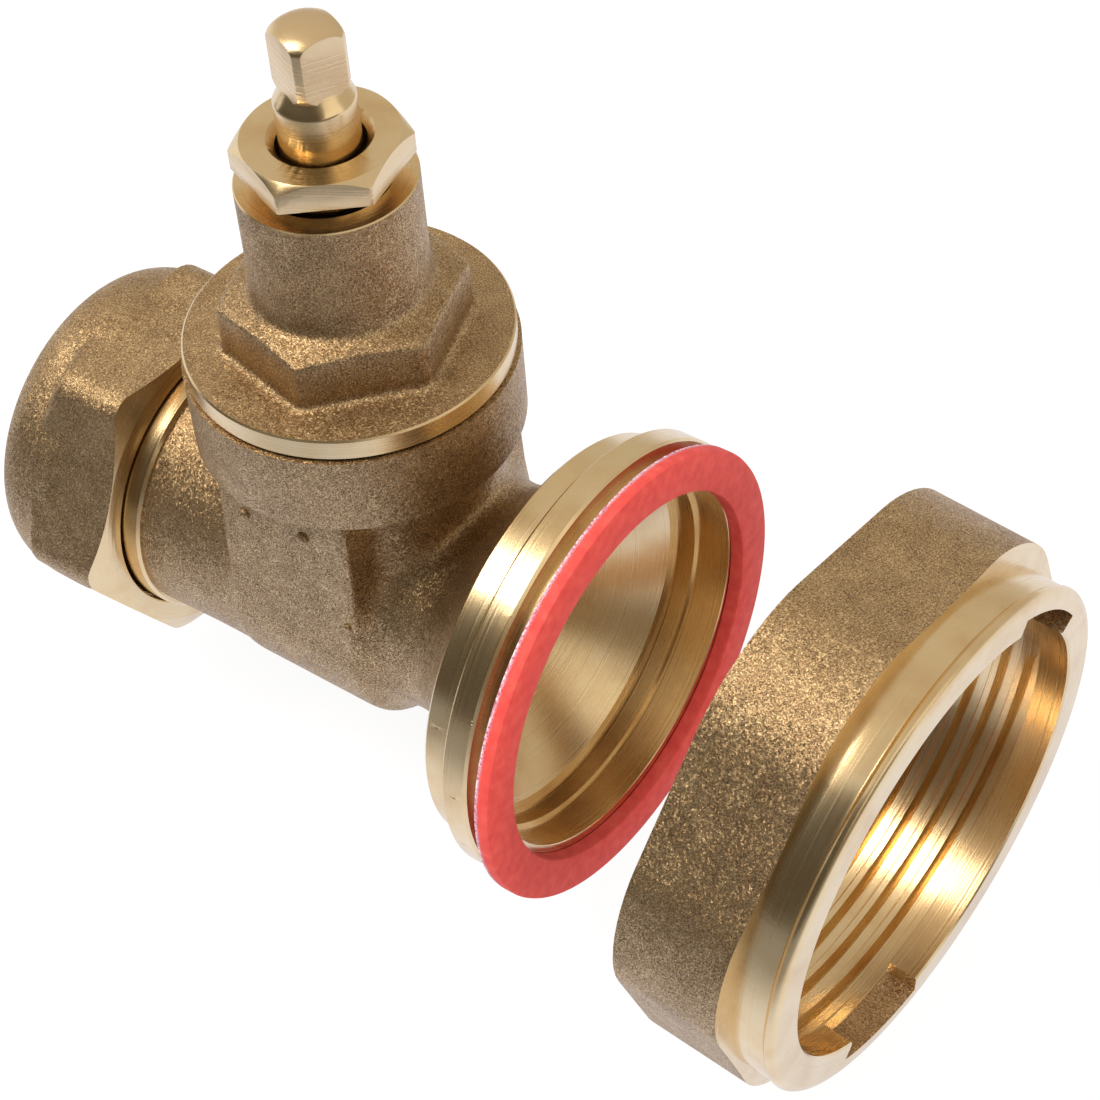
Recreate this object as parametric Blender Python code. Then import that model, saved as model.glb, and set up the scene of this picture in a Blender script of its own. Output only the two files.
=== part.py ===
"""A lockshield pump valve: a brass gate valve with a 22 mm compression end and a flat pump flange.

The origin is the centre of the pipe stop, where the pipe's end comes to rest. +X runs along the flow
towards the pump, and +Z runs up the stem. Pieces are modelled about the valve's centre, where the flow
axis and the stem axis cross, and an empty there carries them all.
"""
import math

import bmesh
import bpy

# Fits
GAP = 0.0003                    # between a piece and the neighbour that it touches
PAST = 0.0010                   # how far a cutter runs past the face that it opens
SIDE_GAP = 0.0004               # beside the gate in its chamber
ROUND = 48                      # facets round a large turned piece
FINE = 32                       # and round a small one

# Flow way
PORT_R = 0.0087
PIPE_R = 0.0111                 # socket for a 22 mm pipe
PIPE_STOP = 0.0120              # from the valve's centre back to the pipe's end
SOCKET_DEPTH = 0.0167

# Gate
GATE_OVERLAP = 0.0013           # rim of the gate that covers the seat
GATE_HALF = 0.0044              # half thickness at the gate's centre
GATE_TAPER = math.tan(math.radians(4.0))
GATE_FLOOR = 0.0009             # metal under the thread's blind end
GATE_TOP_ROOM = 0.0015          # over the open gate, inside the bonnet
HUB_WALL = 0.00135
HUB_RISE = 0.0046               # hub above the gate's rim
HUB_ROOM = 0.0006               # round the hub, inside the bonnet
THREAD_HOLD = 0.0044            # thread still engaged with the gate shut

# Cast body
SPIGOT_WALL = 0.0029            # out to a plain stand-in for the compression thread's crest
SPIGOT_LENGTH = 0.0091
PIPE_WALL = 0.0021
CHAMBER_WALL = 0.0031           # beside and under the gate
CHAMBER_BACK_WALL = 0.0034      # and along the flow, at the gate's centre
CHAMBER_FRONT_WALL = 0.0041
CHAMBER_EDGE = 0.0018
NECK_WALL = 0.0028
NECK_END = 0.0125
BOSS_WALL = 0.0018
BOSS_HEIGHT = 0.00715           # up to the gasket's seat
BOSS_RIM = 0.0005               # wall that stands up round the gasket
BOSS_FILLET = 0.0045            # height of the hollow curve under the boss
BOSS_FILLET_REACH = 0.0039      # and how far it leads in

# Pump flange
FLANGE_BACK = 0.0203
FLANGE_STEP = 0.0234
FLANGE_FACE = 0.0260
FLANGE_INSET = 0.0006           # flange inside the washer's rim
RING_STEP = 0.0016              # between the flange's two rings
FLARE_STEP = 0.0012             # behind the rear ring
FLARE_POWER = 1.25
EDGE = 0.0004                   # small turned chamfer
CONE_START = 0.0125
CONE_STEP = 0.0005
INNER_BAND = 0.0214
BAND_STEP = 0.0006              # between the two turned bands inside
OUTER_BAND = 0.0237
BAND_INSET = 0.0002             # outer band inside the washer's hole

# Bonnet
GASKET = 0.0006
DISC = 0.0022
DISC_INSET = 0.0001             # disc inside the boss's edge
GATE_ABOVE_BOSS = 0.00445       # how far the open gate stands into the bonnet
HEX_SHELF = 0.0019              # hexagon's flats outside the tower
BONNET_HEX_HEIGHT = 0.0042
BONNET_HEX_FALL = 0.0010        # its top falls away to the corners
BONNET_HEX_TURN = math.radians(-12.3)
TOWER_WALL = 0.00235
PLUG_DEPTH = 0.0062             # screwed plug under the disc
PLUG_WALL = 0.0013
PLUG_ROOM = 0.000375            # round the gate, inside the plug
WEB = 0.0015

# Stem, packing and gland nut
SHANK_R = 0.00345
THREAD_STEP = 0.0005            # thread's crest inside the shank
COLLAR_STEP = 0.00165
COLLAR = 0.0014
BOX_ROOM = 0.00035              # round the collar, in the stuffing box
PACKING = 0.0014
GLAND_RING = 0.0008
GLAND_HOLD = 0.0026             # gland nut screwed into the tower
GLAND_STANDOFF = 0.0016         # hexagon clear of the tower's rim
GLAND_SHELF = 0.00155           # hexagon's flats outside the nose
GLAND_HEX_HEIGHT = 0.0022
GLAND_HEX_FALL = 0.0009         # its turned bevel, down to the corners
GLAND_HEX_TURN = math.radians(40.3)
GLAND_ROOM = 0.0004             # round the shank
GLAND_SINK = 0.00065
SHANK_SHOWING = 0.0057
SQUARE = 0.0050
SQUARE_HEIGHT = 0.0043
SQUARE_TURN = math.radians(25.7)
SQUARE_EDGE = 0.0005
SQUARE_INSET = 0.00025          # square's turned corners inside the shank
DOME = 0.0014

# Compression nut and olive
NUT_WALL = 0.00175              # over the thread, at the flats
NUT_HEX_TURN = math.radians(122.5)
NUT_LENGTH = 0.0145
NUT_HEX_LENGTH = 0.0084
NUT_CHAMFER = 0.0015            # along the axis, from flat to corner
NUT_SHOULDER = 0.0013
NUT_CORNER = 0.0010
NUT_CONE = 0.70                 # slope of the seat that squeezes the olive
NUT_OVERHANG = 0.0003           # nut past the root of the spigot
NUT_COLLAR_STEP = 0.00035       # collar outside the flats
NUT_COLLAR_ROUND = 0.0040
NUT_COLLAR_DROP = 0.0020        # radius lost over the rounded end
NUT_MOUTH = 0.0007              # mouth outside the thread's crest
NUT_FACE_INSET = 0.00005
OLIVE_HALF = 0.0029
OLIVE_WALL = 0.0016
OLIVE_TAPER = 0.0010            # radius lost over each tapered end
OLIVE_FLAT = 0.0010

# Pump washer
WASHER_R = 0.0220
WASHER_WIDTH = 0.0040
WASHER = 0.0024
WASHER_DROP = 0.0005            # hangs a little low on the face

# Union nut, off the flange with its lipped end away from it. Its origin is the centre of that end.
UNION_HEX_TURN = math.radians(51.4)
UNION_CORNER_R = 0.0100
UNION_LENGTH = 0.0146
UNION_SHOULDER = 0.0041         # from the lipped end back to the hexagon's flats
UNION_SHOULDER_CONE = 0.0006    # further back at the corners
UNION_SHELF = 0.0010            # flats outside the collar
UNION_BACK_CHAMFER = 0.0012
UNION_PLACE = (0.0606, -0.0010, -0.0015)
UNION_LEAN = (0.0, math.radians(3.45), math.radians(-2.44))
UNION_COLLAR_WALL = 0.0011
UNION_BEAD_STEP = 0.0005
UNION_BEAD = 0.0021
UNION_LIP_ROOM = 0.0009         # lip outside the flange's rear ring
UNION_LIP = 0.0030
UNION_THREAD_ROOM = 0.00045     # plain stand-in for the thread's crest, round the washer
UNION_RELIEF_STEP = 0.00055
UNION_RELIEF = 0.0012
NOTCH_DEPTH = 0.0018            # into the lip
NOTCH_SPAN = math.radians(31.0)
NOTCH_CENTRES = (math.radians(-105.5), math.radians(49.0))

# Radii that follow from the sizes above
SPIGOT_R = PIPE_R + SPIGOT_WALL
PIPE_BODY_R = PIPE_R + PIPE_WALL
NECK_R = PORT_R + NECK_WALL
GATE_R = PORT_R + GATE_OVERLAP
CHAMBER_SLOT_R = GATE_R + SIDE_GAP
CHAMBER_R = CHAMBER_SLOT_R + CHAMBER_WALL
CHAMBER_BACK = -(GATE_HALF + CHAMBER_BACK_WALL)
CHAMBER_FRONT = GATE_HALF + CHAMBER_FRONT_WALL
PLUG_BORE_R = math.hypot(GATE_R, GATE_HALF) + PLUG_ROOM
PLUG_R = PLUG_BORE_R + PLUG_WALL
BOSS_BORE_R = PLUG_R + GAP
BOSS_R = BOSS_BORE_R + BOSS_WALL
BOSS_ROOT_R = BOSS_R - BOSS_FILLET_REACH
SEAT_R = BOSS_R - BOSS_RIM
DISC_R = BOSS_R - DISC_INSET
THREAD_R = SHANK_R - THREAD_STEP
THREAD_BORE_R = THREAD_R + GAP
HUB_R = THREAD_BORE_R + HUB_WALL
COLLAR_R = SHANK_R + COLLAR_STEP
BOX_R = COLLAR_R + BOX_ROOM
BOX_FILL_R = BOX_R - GAP
TOWER_R = BOX_R + TOWER_WALL
BONNET_HEX = 2 * (TOWER_R + HEX_SHELF)
GLAND_HEX = 2 * (BOX_FILL_R + GLAND_SHELF)
GLAND_HOLE_R = SHANK_R + GLAND_ROOM
GLAND_SINK_R = GLAND_HOLE_R + GLAND_SINK
SQUARE_CORNER_R = SHANK_R - SQUARE_INSET
NUT_THREAD_R = SPIGOT_R + GAP
NUT_MOUTH_R = SPIGOT_R + NUT_MOUTH
NUT_HEX = 2 * (NUT_THREAD_R + NUT_WALL)
NUT_COLLAR_R = NUT_HEX / 2 + NUT_COLLAR_STEP
NUT_FACE_R = NUT_HEX / 2 - NUT_FACE_INSET
OLIVE_R = PIPE_R + OLIVE_WALL
WASHER_HOLE_R = WASHER_R - WASHER_WIDTH
FRONT_RING_R = WASHER_R - FLANGE_INSET
REAR_RING_R = FRONT_RING_R - RING_STEP
FLARE_R = REAR_RING_R - FLARE_STEP
OUTER_BAND_R = WASHER_HOLE_R - BAND_INSET
INNER_BAND_R = OUTER_BAND_R - BAND_STEP
CONE_R = INNER_BAND_R - CONE_STEP
UNION_LIP_R = REAR_RING_R + UNION_LIP_ROOM
UNION_THREAD_R = WASHER_R + UNION_THREAD_ROOM
UNION_RELIEF_R = UNION_THREAD_R + UNION_RELIEF_STEP
UNION_COLLAR_R = UNION_RELIEF_R + UNION_COLLAR_WALL
UNION_BEAD_R = UNION_COLLAR_R + UNION_BEAD_STEP
UNION_HEX = 2 * (UNION_COLLAR_R + UNION_SHELF)
NOTCH_R = UNION_LIP_R + NOTCH_DEPTH

# Levels that follow, up the stem and then along the flow
LIFT = PORT_R + GATE_R + GAP
BOSS_TOP = LIFT + GATE_R - GATE_ABOVE_BOSS
BOSS_FOOT = BOSS_TOP - BOSS_HEIGHT
DISC_FOOT = BOSS_TOP + 2 * GAP + GASKET
RIM_TOP = DISC_FOOT - GAP
DISC_TOP = DISC_FOOT + DISC
PLUG_FOOT = DISC_FOOT - PLUG_DEPTH
HUB_TOP = GATE_R + HUB_RISE
STEM_FOOT = HUB_TOP - THREAD_HOLD
WEB_FOOT = LIFT + HUB_TOP + GAP
WEB_TOP = WEB_FOOT + WEB
COLLAR_FOOT = WEB_TOP + GAP
COLLAR_TOP = COLLAR_FOOT + COLLAR
PACKING_FEET = (COLLAR_TOP + GAP, COLLAR_TOP + 2 * GAP + PACKING)
RING_FOOT = PACKING_FEET[1] + PACKING + GAP
RING_TOP = RING_FOOT + GLAND_RING
NOSE_FOOT = RING_TOP + GAP
TOWER_TOP = NOSE_FOOT + GLAND_HOLD
GLAND_FOOT = TOWER_TOP + GLAND_STANDOFF
GLAND_TOP = GLAND_FOOT + GLAND_HEX_HEIGHT
SQUARE_FOOT = GLAND_TOP + SHANK_SHOWING
SQUARE_TOP = SQUARE_FOOT + SQUARE_HEIGHT
SPIGOT_END = -(PIPE_STOP + SOCKET_DEPTH)
SPIGOT_ROOT = SPIGOT_END + SPIGOT_LENGTH
NUT_FACE = SPIGOT_ROOT - NUT_OVERHANG
NUT_END = NUT_FACE - NUT_LENGTH
OLIVE_CENTRE = SPIGOT_END - OLIVE_FLAT - GAP
OLIVE_SLOPE = OLIVE_TAPER / (OLIVE_HALF - OLIVE_FLAT / 2)
WASHER_BACK = FLANGE_FACE + GAP


def empty_scene():
    for thing in list(bpy.data.objects):
        bpy.data.objects.remove(thing)


def material(name, colour, roughness, metallic):
    made = bpy.data.materials.new(name)
    made.use_nodes = True
    shader = made.node_tree.nodes["Principled BSDF"]
    shader.inputs["Base Color"].default_value = (*colour, 1.0)
    shader.inputs["Roughness"].default_value = roughness
    shader.inputs["Metallic"].default_value = metallic
    return made


def place(name, location, lean=(0.0, 0.0, 0.0), carrier=None):
    """An empty that carries pieces."""
    made = bpy.data.objects.new(name, None)
    bpy.context.scene.collection.objects.link(made)
    made.parent = carrier
    made.location = location
    made.rotation_euler = lean
    return made


def piece(name, mesh_builder, look=None, carrier="valve_centre"):
    """A named object carried by an empty. With no look it is a helper that only shapes others."""
    mesh = bpy.data.meshes.new(name)
    bmesh.ops.recalc_face_normals(mesh_builder, faces=mesh_builder.faces)
    mesh_builder.to_mesh(mesh)
    mesh_builder.free()
    mesh.shade_smooth()
    mesh.set_sharp_from_angle(angle=math.radians(32.0))
    made = bpy.data.objects.new(name, mesh)
    bpy.context.scene.collection.objects.link(made)
    made.parent = bpy.data.objects[carrier]
    if look:
        mesh.materials.append(look)
    else:
        made.hide_render = True
        made.display_type = "WIRE"
    return made


def spun(outline, axis, facets=ROUND, angle=2 * math.pi, start=0.0):
    """The solid that a closed outline of (position along the axis, radius) sweeps about X or Z."""
    builder = bmesh.new()
    flow = axis == "X"
    cosine, sine = math.cos(start), math.sin(start)
    corners = []
    for along, radius in outline:
        place = (along, radius * cosine, radius * sine) if flow else (radius * cosine, radius * sine, along)
        corners.append(builder.verts.new(place))
    whole = angle > 6.28
    if whole:
        for first, second in zip(corners, corners[1:] + corners[:1]):
            builder.edges.new((first, second))
    else:
        builder.faces.new(corners)
    bmesh.ops.spin(
        builder,
        geom=builder.verts[:] + builder.edges[:] + builder.faces[:],
        cent=(0, 0, 0),
        axis=(1, 0, 0) if flow else (0, 0, 1),
        angle=angle,
        steps=facets,
        use_merge=whole,
    )
    bmesh.ops.remove_doubles(builder, verts=builder.verts, dist=1e-6)
    lost = [edge for edge in builder.edges if not edge.link_faces]
    bmesh.ops.delete(builder, geom=lost, context="EDGES")
    return builder


def prism(sides, across_flats, foot, top, axis, turn, corner=0.0):
    """A regular prism about X or Z with a corner at the angle turn and long edges of radius corner."""
    builder = bmesh.new()
    radius = across_flats / 2 / math.cos(math.pi / sides)
    ring = []
    for index in range(sides):
        angle = turn + 2 * math.pi * index / sides
        first, second = radius * math.cos(angle), radius * math.sin(angle)
        ring.append(builder.verts.new((foot, first, second) if axis == "X" else (first, second, foot)))
    face = builder.faces.new(ring)
    rise = bmesh.ops.extrude_face_region(builder, geom=[face])
    raised = [item for item in rise["geom"] if isinstance(item, bmesh.types.BMVert)]
    step = (top - foot, 0, 0) if axis == "X" else (0, 0, top - foot)
    bmesh.ops.translate(builder, vec=step, verts=raised)
    if corner:
        long_edges = [edge for edge in builder.edges if (edge.verts[0] in raised) != (edge.verts[1] in raised)]
        reach = corner * math.tan(math.pi / sides)
        bmesh.ops.bevel(builder, geom=long_edges, offset=reach, segments=4, affect="EDGES", profile=0.5)
    return builder


def coned(foot, top, inner, outer, fall):
    """Outline of a blank whose top falls away from the radius inner to outer, run past them both ways."""
    reach = outer - inner
    past = (top - 2 * fall, outer + reach)
    return [(foot, 0), (foot, past[1]), past, (top + fall, inner - reach), (top + fall, 0)]


def arch(radius, top, half_width):
    """A slab across the flow with a half-round foot. half_width(z) gives its half thickness along X."""
    builder = bmesh.new()
    outline = [(-radius, top)]
    for index in range(ROUND // 2 + 1):
        angle = math.pi + math.pi * index / (ROUND // 2)
        outline.append((radius * math.cos(angle), radius * math.sin(angle)))
    outline.append((radius, top))
    return slab(builder, outline, half_width)


def slab(builder, outline, half_width):
    """Both faces of a slab across the flow from its (y, z) outline, joined round the edge."""
    back = [builder.verts.new((half_width(z)[0], y, z)) for y, z in outline]
    front = [builder.verts.new((half_width(z)[1], y, z)) for y, z in outline]
    builder.faces.new(back)
    builder.faces.new(front[::-1])
    for index in range(len(outline)):
        following = (index + 1) % len(outline)
        builder.faces.new((back[index], front[index], front[following], back[following]))
    return builder


def wedge(extra):
    """Half thickness of the gate's taper, widened by extra on both faces."""
    return lambda z: (-(GATE_HALF + extra + z * GATE_TAPER), GATE_HALF + extra + z * GATE_TAPER)


def combine(target, tool, operation, solver="EXACT"):
    step = target.modifiers.new(tool.name, "BOOLEAN")
    step.operation = operation
    step.object = tool
    step.solver = solver


def ring(name, foot, top, inner, outer, look, axis="Z", facets=FINE):
    return piece(name, spun([(foot, inner), (foot, outer), (top, outer), (top, inner)], axis, facets), look)


def valve_body(look):
    """One casting: pipe spigot, gate chamber, bonnet boss, neck and the turned pump flange."""
    outline = [
        (SPIGOT_END, 0), (SPIGOT_END, SPIGOT_R - 2 * EDGE), (SPIGOT_END + 2 * EDGE, SPIGOT_R),
        (SPIGOT_ROOT, SPIGOT_R), (SPIGOT_ROOT + 2 * EDGE, PIPE_BODY_R + EDGE),
        (-PIPE_STOP, PIPE_BODY_R), (CHAMBER_BACK + CHAMBER_EDGE, PIPE_BODY_R),
        (CHAMBER_BACK + CHAMBER_EDGE, NECK_R),
    ]
    for index in range(9):
        part = index / 8
        along = NECK_END + (FLANGE_BACK - NECK_END) * part
        outline.append((along, NECK_R + (FLARE_R - NECK_R) * part ** FLARE_POWER))
    outline += [
        (FLANGE_BACK, REAR_RING_R - EDGE), (FLANGE_BACK + EDGE, REAR_RING_R), (FLANGE_STEP, REAR_RING_R),
        (FLANGE_STEP, FRONT_RING_R - EDGE), (FLANGE_STEP + EDGE, FRONT_RING_R),
        (FLANGE_FACE - EDGE, FRONT_RING_R), (FLANGE_FACE, FRONT_RING_R - EDGE), (FLANGE_FACE, 0),
    ]
    body = piece("valve_body", spun(outline, "X"), look)

    chamber = piece("chamber_form", arch(CHAMBER_R, BOSS_FOOT + EDGE, lambda z: (CHAMBER_BACK, CHAMBER_FRONT)))
    rounding = chamber.modifiers.new("cast edge", "BEVEL")
    rounding.width = CHAMBER_EDGE
    rounding.segments = 2
    rounding.limit_method = "ANGLE"
    combine(body, chamber, "UNION")
    boss = [(PORT_R / 2, 0), (PORT_R / 2, BOSS_ROOT_R)]
    reach = BOSS_R - 2 * EDGE - BOSS_ROOT_R
    for index in range(6):
        angle = math.pi / 2 * index / 5
        level = BOSS_FOOT - BOSS_FILLET * (1 - math.sin(angle))
        boss.append((level, BOSS_ROOT_R + reach * (1 - math.cos(angle))))
    boss += [(BOSS_FOOT + 2 * EDGE, BOSS_R), (RIM_TOP, BOSS_R), (RIM_TOP, 0)]
    combine(body, piece("boss_form", spun(boss, "Z")), "UNION")

    mouth = PIPE_R + OLIVE_WALL - OLIVE_SLOPE * OLIVE_FLAT / 2 + GAP
    flow_way = [
        (SPIGOT_END - PAST, 0), (SPIGOT_END - PAST, mouth), (SPIGOT_END, mouth),
        (SPIGOT_END + (mouth - PIPE_R) / OLIVE_SLOPE, PIPE_R), (-PIPE_STOP, PIPE_R), (-PIPE_STOP, PORT_R),
        (CONE_START, PORT_R), (INNER_BAND, CONE_R), (INNER_BAND, INNER_BAND_R), (OUTER_BAND, INNER_BAND_R),
        (OUTER_BAND, OUTER_BAND_R), (FLANGE_FACE + PAST, OUTER_BAND_R), (FLANGE_FACE + PAST, 0),
    ]
    hollow = piece("body_hollow", spun(flow_way, "X"))
    combine(hollow, piece("gate_slot", arch(CHAMBER_SLOT_R, BOSS_TOP - PAST, wedge(GAP))), "UNION")
    bore_floor = PLUG_FOOT - PAST
    bore = [
        (bore_floor, 0), (bore_floor, BOSS_BORE_R), (BOSS_TOP, BOSS_BORE_R), (BOSS_TOP, SEAT_R),
        (RIM_TOP + PAST, SEAT_R), (RIM_TOP + PAST, 0),
    ]
    combine(hollow, piece("boss_bore", spun(bore, "Z")), "UNION")
    combine(body, hollow, "DIFFERENCE")


def bonnet(look):
    """The screwed-in cap: plug, round disc, spanner hexagon and the tower that holds the packing."""
    outline = [
        (PLUG_FOOT, 0), (PLUG_FOOT, PLUG_R - EDGE), (PLUG_FOOT + EDGE, PLUG_R), (DISC_FOOT, PLUG_R),
        (DISC_FOOT, DISC_R), (DISC_TOP - EDGE, DISC_R), (DISC_TOP, DISC_R - EDGE), (DISC_TOP, TOWER_R),
        (TOWER_TOP - EDGE, TOWER_R), (TOWER_TOP, TOWER_R - EDGE), (TOWER_TOP, 0),
    ]
    cap = piece("bonnet", spun(outline, "Z"), look)
    hex_top = DISC_TOP + BONNET_HEX_HEIGHT
    hexagon = piece("bonnet_hexagon", prism(6, BONNET_HEX, DISC_TOP - DISC / 2, hex_top, "Z",
                                            BONNET_HEX_TURN, DISC / 4))
    blank = coned(DISC_FOOT, hex_top, TOWER_R + EDGE, BONNET_HEX / math.sqrt(3), BONNET_HEX_FALL)
    combine(hexagon, piece("bonnet_blank", spun(blank, "Z")), "INTERSECT")
    combine(cap, hexagon, "UNION")

    hub_room = HUB_R + HUB_ROOM
    crown_wall = BONNET_HEX / 2 - PLUG_WALL - GAP
    crown_top = LIFT + GATE_R + GATE_TOP_ROOM
    hollow = [
        (PLUG_FOOT - PAST, 0), (PLUG_FOOT - PAST, PLUG_BORE_R), (DISC_FOOT, PLUG_BORE_R),
        (DISC_TOP - GAP, crown_wall), (crown_top, crown_wall), (crown_top + PAST, hub_room),
        (WEB_FOOT, hub_room), (WEB_FOOT, THREAD_BORE_R), (WEB_TOP, THREAD_BORE_R), (WEB_TOP, BOX_R),
        (TOWER_TOP + PAST, BOX_R), (TOWER_TOP + PAST, 0),
    ]
    combine(cap, piece("bonnet_hollow", spun(hollow, "Z")), "DIFFERENCE")


def gate(look):
    """The wedge that shuts the port. Its hub is a blind nut on the stem's left-hand thread."""
    place("gate_centre", (0.0, 0.0, LIFT), carrier=bpy.data.objects["valve_centre"])
    outline = []
    for index in range(ROUND):
        angle = 2 * math.pi * index / ROUND
        outline.append((GATE_R * math.cos(angle), GATE_R * math.sin(angle)))
    disc = piece("gate", slab(bmesh.new(), outline, wedge(0)), look, "gate_centre")
    hub = [(0, 0), (0, HUB_R), (HUB_TOP, HUB_R), (HUB_TOP, 0)]
    combine(disc, piece("gate_hub", spun(hub, "Z", FINE), carrier="gate_centre"), "UNION")
    floor = GATE_FLOOR - GATE_R
    bore = [(floor, 0), (floor, THREAD_BORE_R), (HUB_TOP + PAST, THREAD_BORE_R), (HUB_TOP + PAST, 0)]
    combine(disc, piece("gate_thread", spun(bore, "Z", FINE), carrier="gate_centre"), "DIFFERENCE")


def stem(look):
    """Thread, thrust collar, polished shank and the domed square that the lockshield key fits."""
    shoulder = SHANK_R - SQUARE / 2
    outline = [
        (STEM_FOOT, 0), (STEM_FOOT, THREAD_R - EDGE), (STEM_FOOT + EDGE, THREAD_R), (COLLAR_FOOT, THREAD_R),
        (COLLAR_FOOT, COLLAR_R), (COLLAR_TOP, COLLAR_R), (COLLAR_TOP, SHANK_R),
        (SQUARE_FOOT - 2 * shoulder, SHANK_R), (SQUARE_FOOT - shoulder, SHANK_R - EDGE),
        (SQUARE_FOOT + EDGE, SQUARE / 2 - EDGE), (SQUARE_FOOT + EDGE, 0),
    ]
    spindle = piece("stem", spun(outline, "Z", FINE), look)
    dome = [(SQUARE_FOOT - EDGE, 0), (SQUARE_FOOT - EDGE, SQUARE_CORNER_R - EDGE), (SQUARE_FOOT, SQUARE_CORNER_R)]
    for index in range(7):
        angle = math.pi / 2 * index / 6
        dome.append((SQUARE_TOP + DOME * math.sin(angle), SQUARE_CORNER_R * math.cos(angle)))
    square = prism(4, SQUARE, SQUARE_FOOT - shoulder, SQUARE_TOP + 2 * DOME, "Z", SQUARE_TURN, SQUARE_EDGE)
    head = piece("stem_square", square)
    combine(head, piece("stem_dome", spun(dome, "Z", FINE)), "INTERSECT")
    combine(spindle, head, "UNION")


def gland_nut(look):
    """The small nut that squeezes the packing: a chamfered hexagon over a screwed nose."""
    nut = piece("gland_nut", prism(6, GLAND_HEX, GLAND_FOOT, GLAND_TOP, "Z", GLAND_HEX_TURN), look)
    blank = coned(GLAND_FOOT - PAST, GLAND_TOP, GLAND_HEX / 2 - EDGE, GLAND_HEX / math.sqrt(3), GLAND_HEX_FALL)
    combine(nut, piece("gland_blank", spun(blank, "Z", FINE)), "INTERSECT")
    nose = [(NOSE_FOOT, 0), (NOSE_FOOT, BOX_FILL_R), (GLAND_FOOT + EDGE, BOX_FILL_R), (GLAND_FOOT + EDGE, 0)]
    combine(nut, piece("gland_nose", spun(nose, "Z", FINE)), "UNION")
    sink = GLAND_SINK_R - GLAND_HOLE_R
    hole = [
        (NOSE_FOOT - PAST, 0), (NOSE_FOOT - PAST, GLAND_HOLE_R), (GLAND_TOP - sink, GLAND_HOLE_R),
        (GLAND_TOP + PAST, GLAND_SINK_R + PAST), (GLAND_TOP + PAST, 0),
    ]
    combine(nut, piece("gland_hole", spun(hole, "Z", FINE)), "DIFFERENCE")


def compression_nut(look):
    """Hexagon with a turned chamfer towards the body and a round cast collar towards the pipe."""
    hex_end = NUT_FACE - NUT_HEX_LENGTH
    corner_r = NUT_HEX / math.sqrt(3)
    hexagon = prism(6, NUT_HEX, hex_end - NUT_SHOULDER, NUT_FACE, "X", NUT_HEX_TURN, NUT_CORNER)
    nut = piece("compression_nut", hexagon, look)
    blank = [
        (hex_end - NUT_SHOULDER - PAST, 0), (hex_end - NUT_SHOULDER - PAST, NUT_COLLAR_R - 2 * PAST),
        (hex_end, corner_r), (NUT_FACE - NUT_CHAMFER, corner_r), (NUT_FACE, NUT_FACE_R),
        (NUT_FACE + PAST, NUT_FACE_R - 2 * PAST), (NUT_FACE + PAST, 0),
    ]
    combine(nut, piece("nut_blank", spun(blank, "X")), "INTERSECT")
    collar = [(hex_end + PAST, 0), (hex_end + PAST, NUT_COLLAR_R)]
    for index in range(6):
        angle = math.pi / 2 * index / 5
        along = NUT_END + NUT_COLLAR_ROUND * (1 - math.sin(angle))
        collar.append((along, NUT_COLLAR_R - NUT_COLLAR_DROP * (1 - math.cos(angle))))
    collar.append((NUT_END, 0))
    combine(nut, piece("nut_collar", spun(collar, "X")), "UNION")

    olive_end = OLIVE_CENTRE - OLIVE_HALF
    seat_r = OLIVE_R - OLIVE_TAPER + GAP + EDGE / 4
    pocket = OLIVE_CENTRE - OLIVE_FLAT / 2
    pocket_r = seat_r + NUT_CONE * (pocket - olive_end)
    hole_r = PIPE_R + EDGE / 2
    bore = [
        (NUT_FACE + PAST, 0), (NUT_FACE + PAST, NUT_MOUTH_R), (NUT_FACE - PAST / 2, NUT_MOUTH_R),
        (NUT_FACE - PAST, NUT_THREAD_R), (pocket, NUT_THREAD_R), (pocket, pocket_r),
        (olive_end - (seat_r - hole_r) / NUT_CONE, hole_r), (NUT_END - PAST, hole_r), (NUT_END - PAST, 0),
    ]
    combine(nut, piece("nut_bore", spun(bore, "X")), "DIFFERENCE", "MANIFOLD")


def olive(look):
    """The soft ring that the nut squeezes onto the pipe."""
    flat = OLIVE_FLAT / 2
    end_r = OLIVE_R - OLIVE_TAPER
    outline = [
        (OLIVE_CENTRE - OLIVE_HALF, PIPE_R), (OLIVE_CENTRE - OLIVE_HALF, end_r),
        (OLIVE_CENTRE - flat, OLIVE_R), (OLIVE_CENTRE + flat, OLIVE_R),
        (OLIVE_CENTRE + OLIVE_HALF, end_r), (OLIVE_CENTRE + OLIVE_HALF, PIPE_R),
    ]
    piece("olive", spun(outline, "X"), look)


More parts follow.
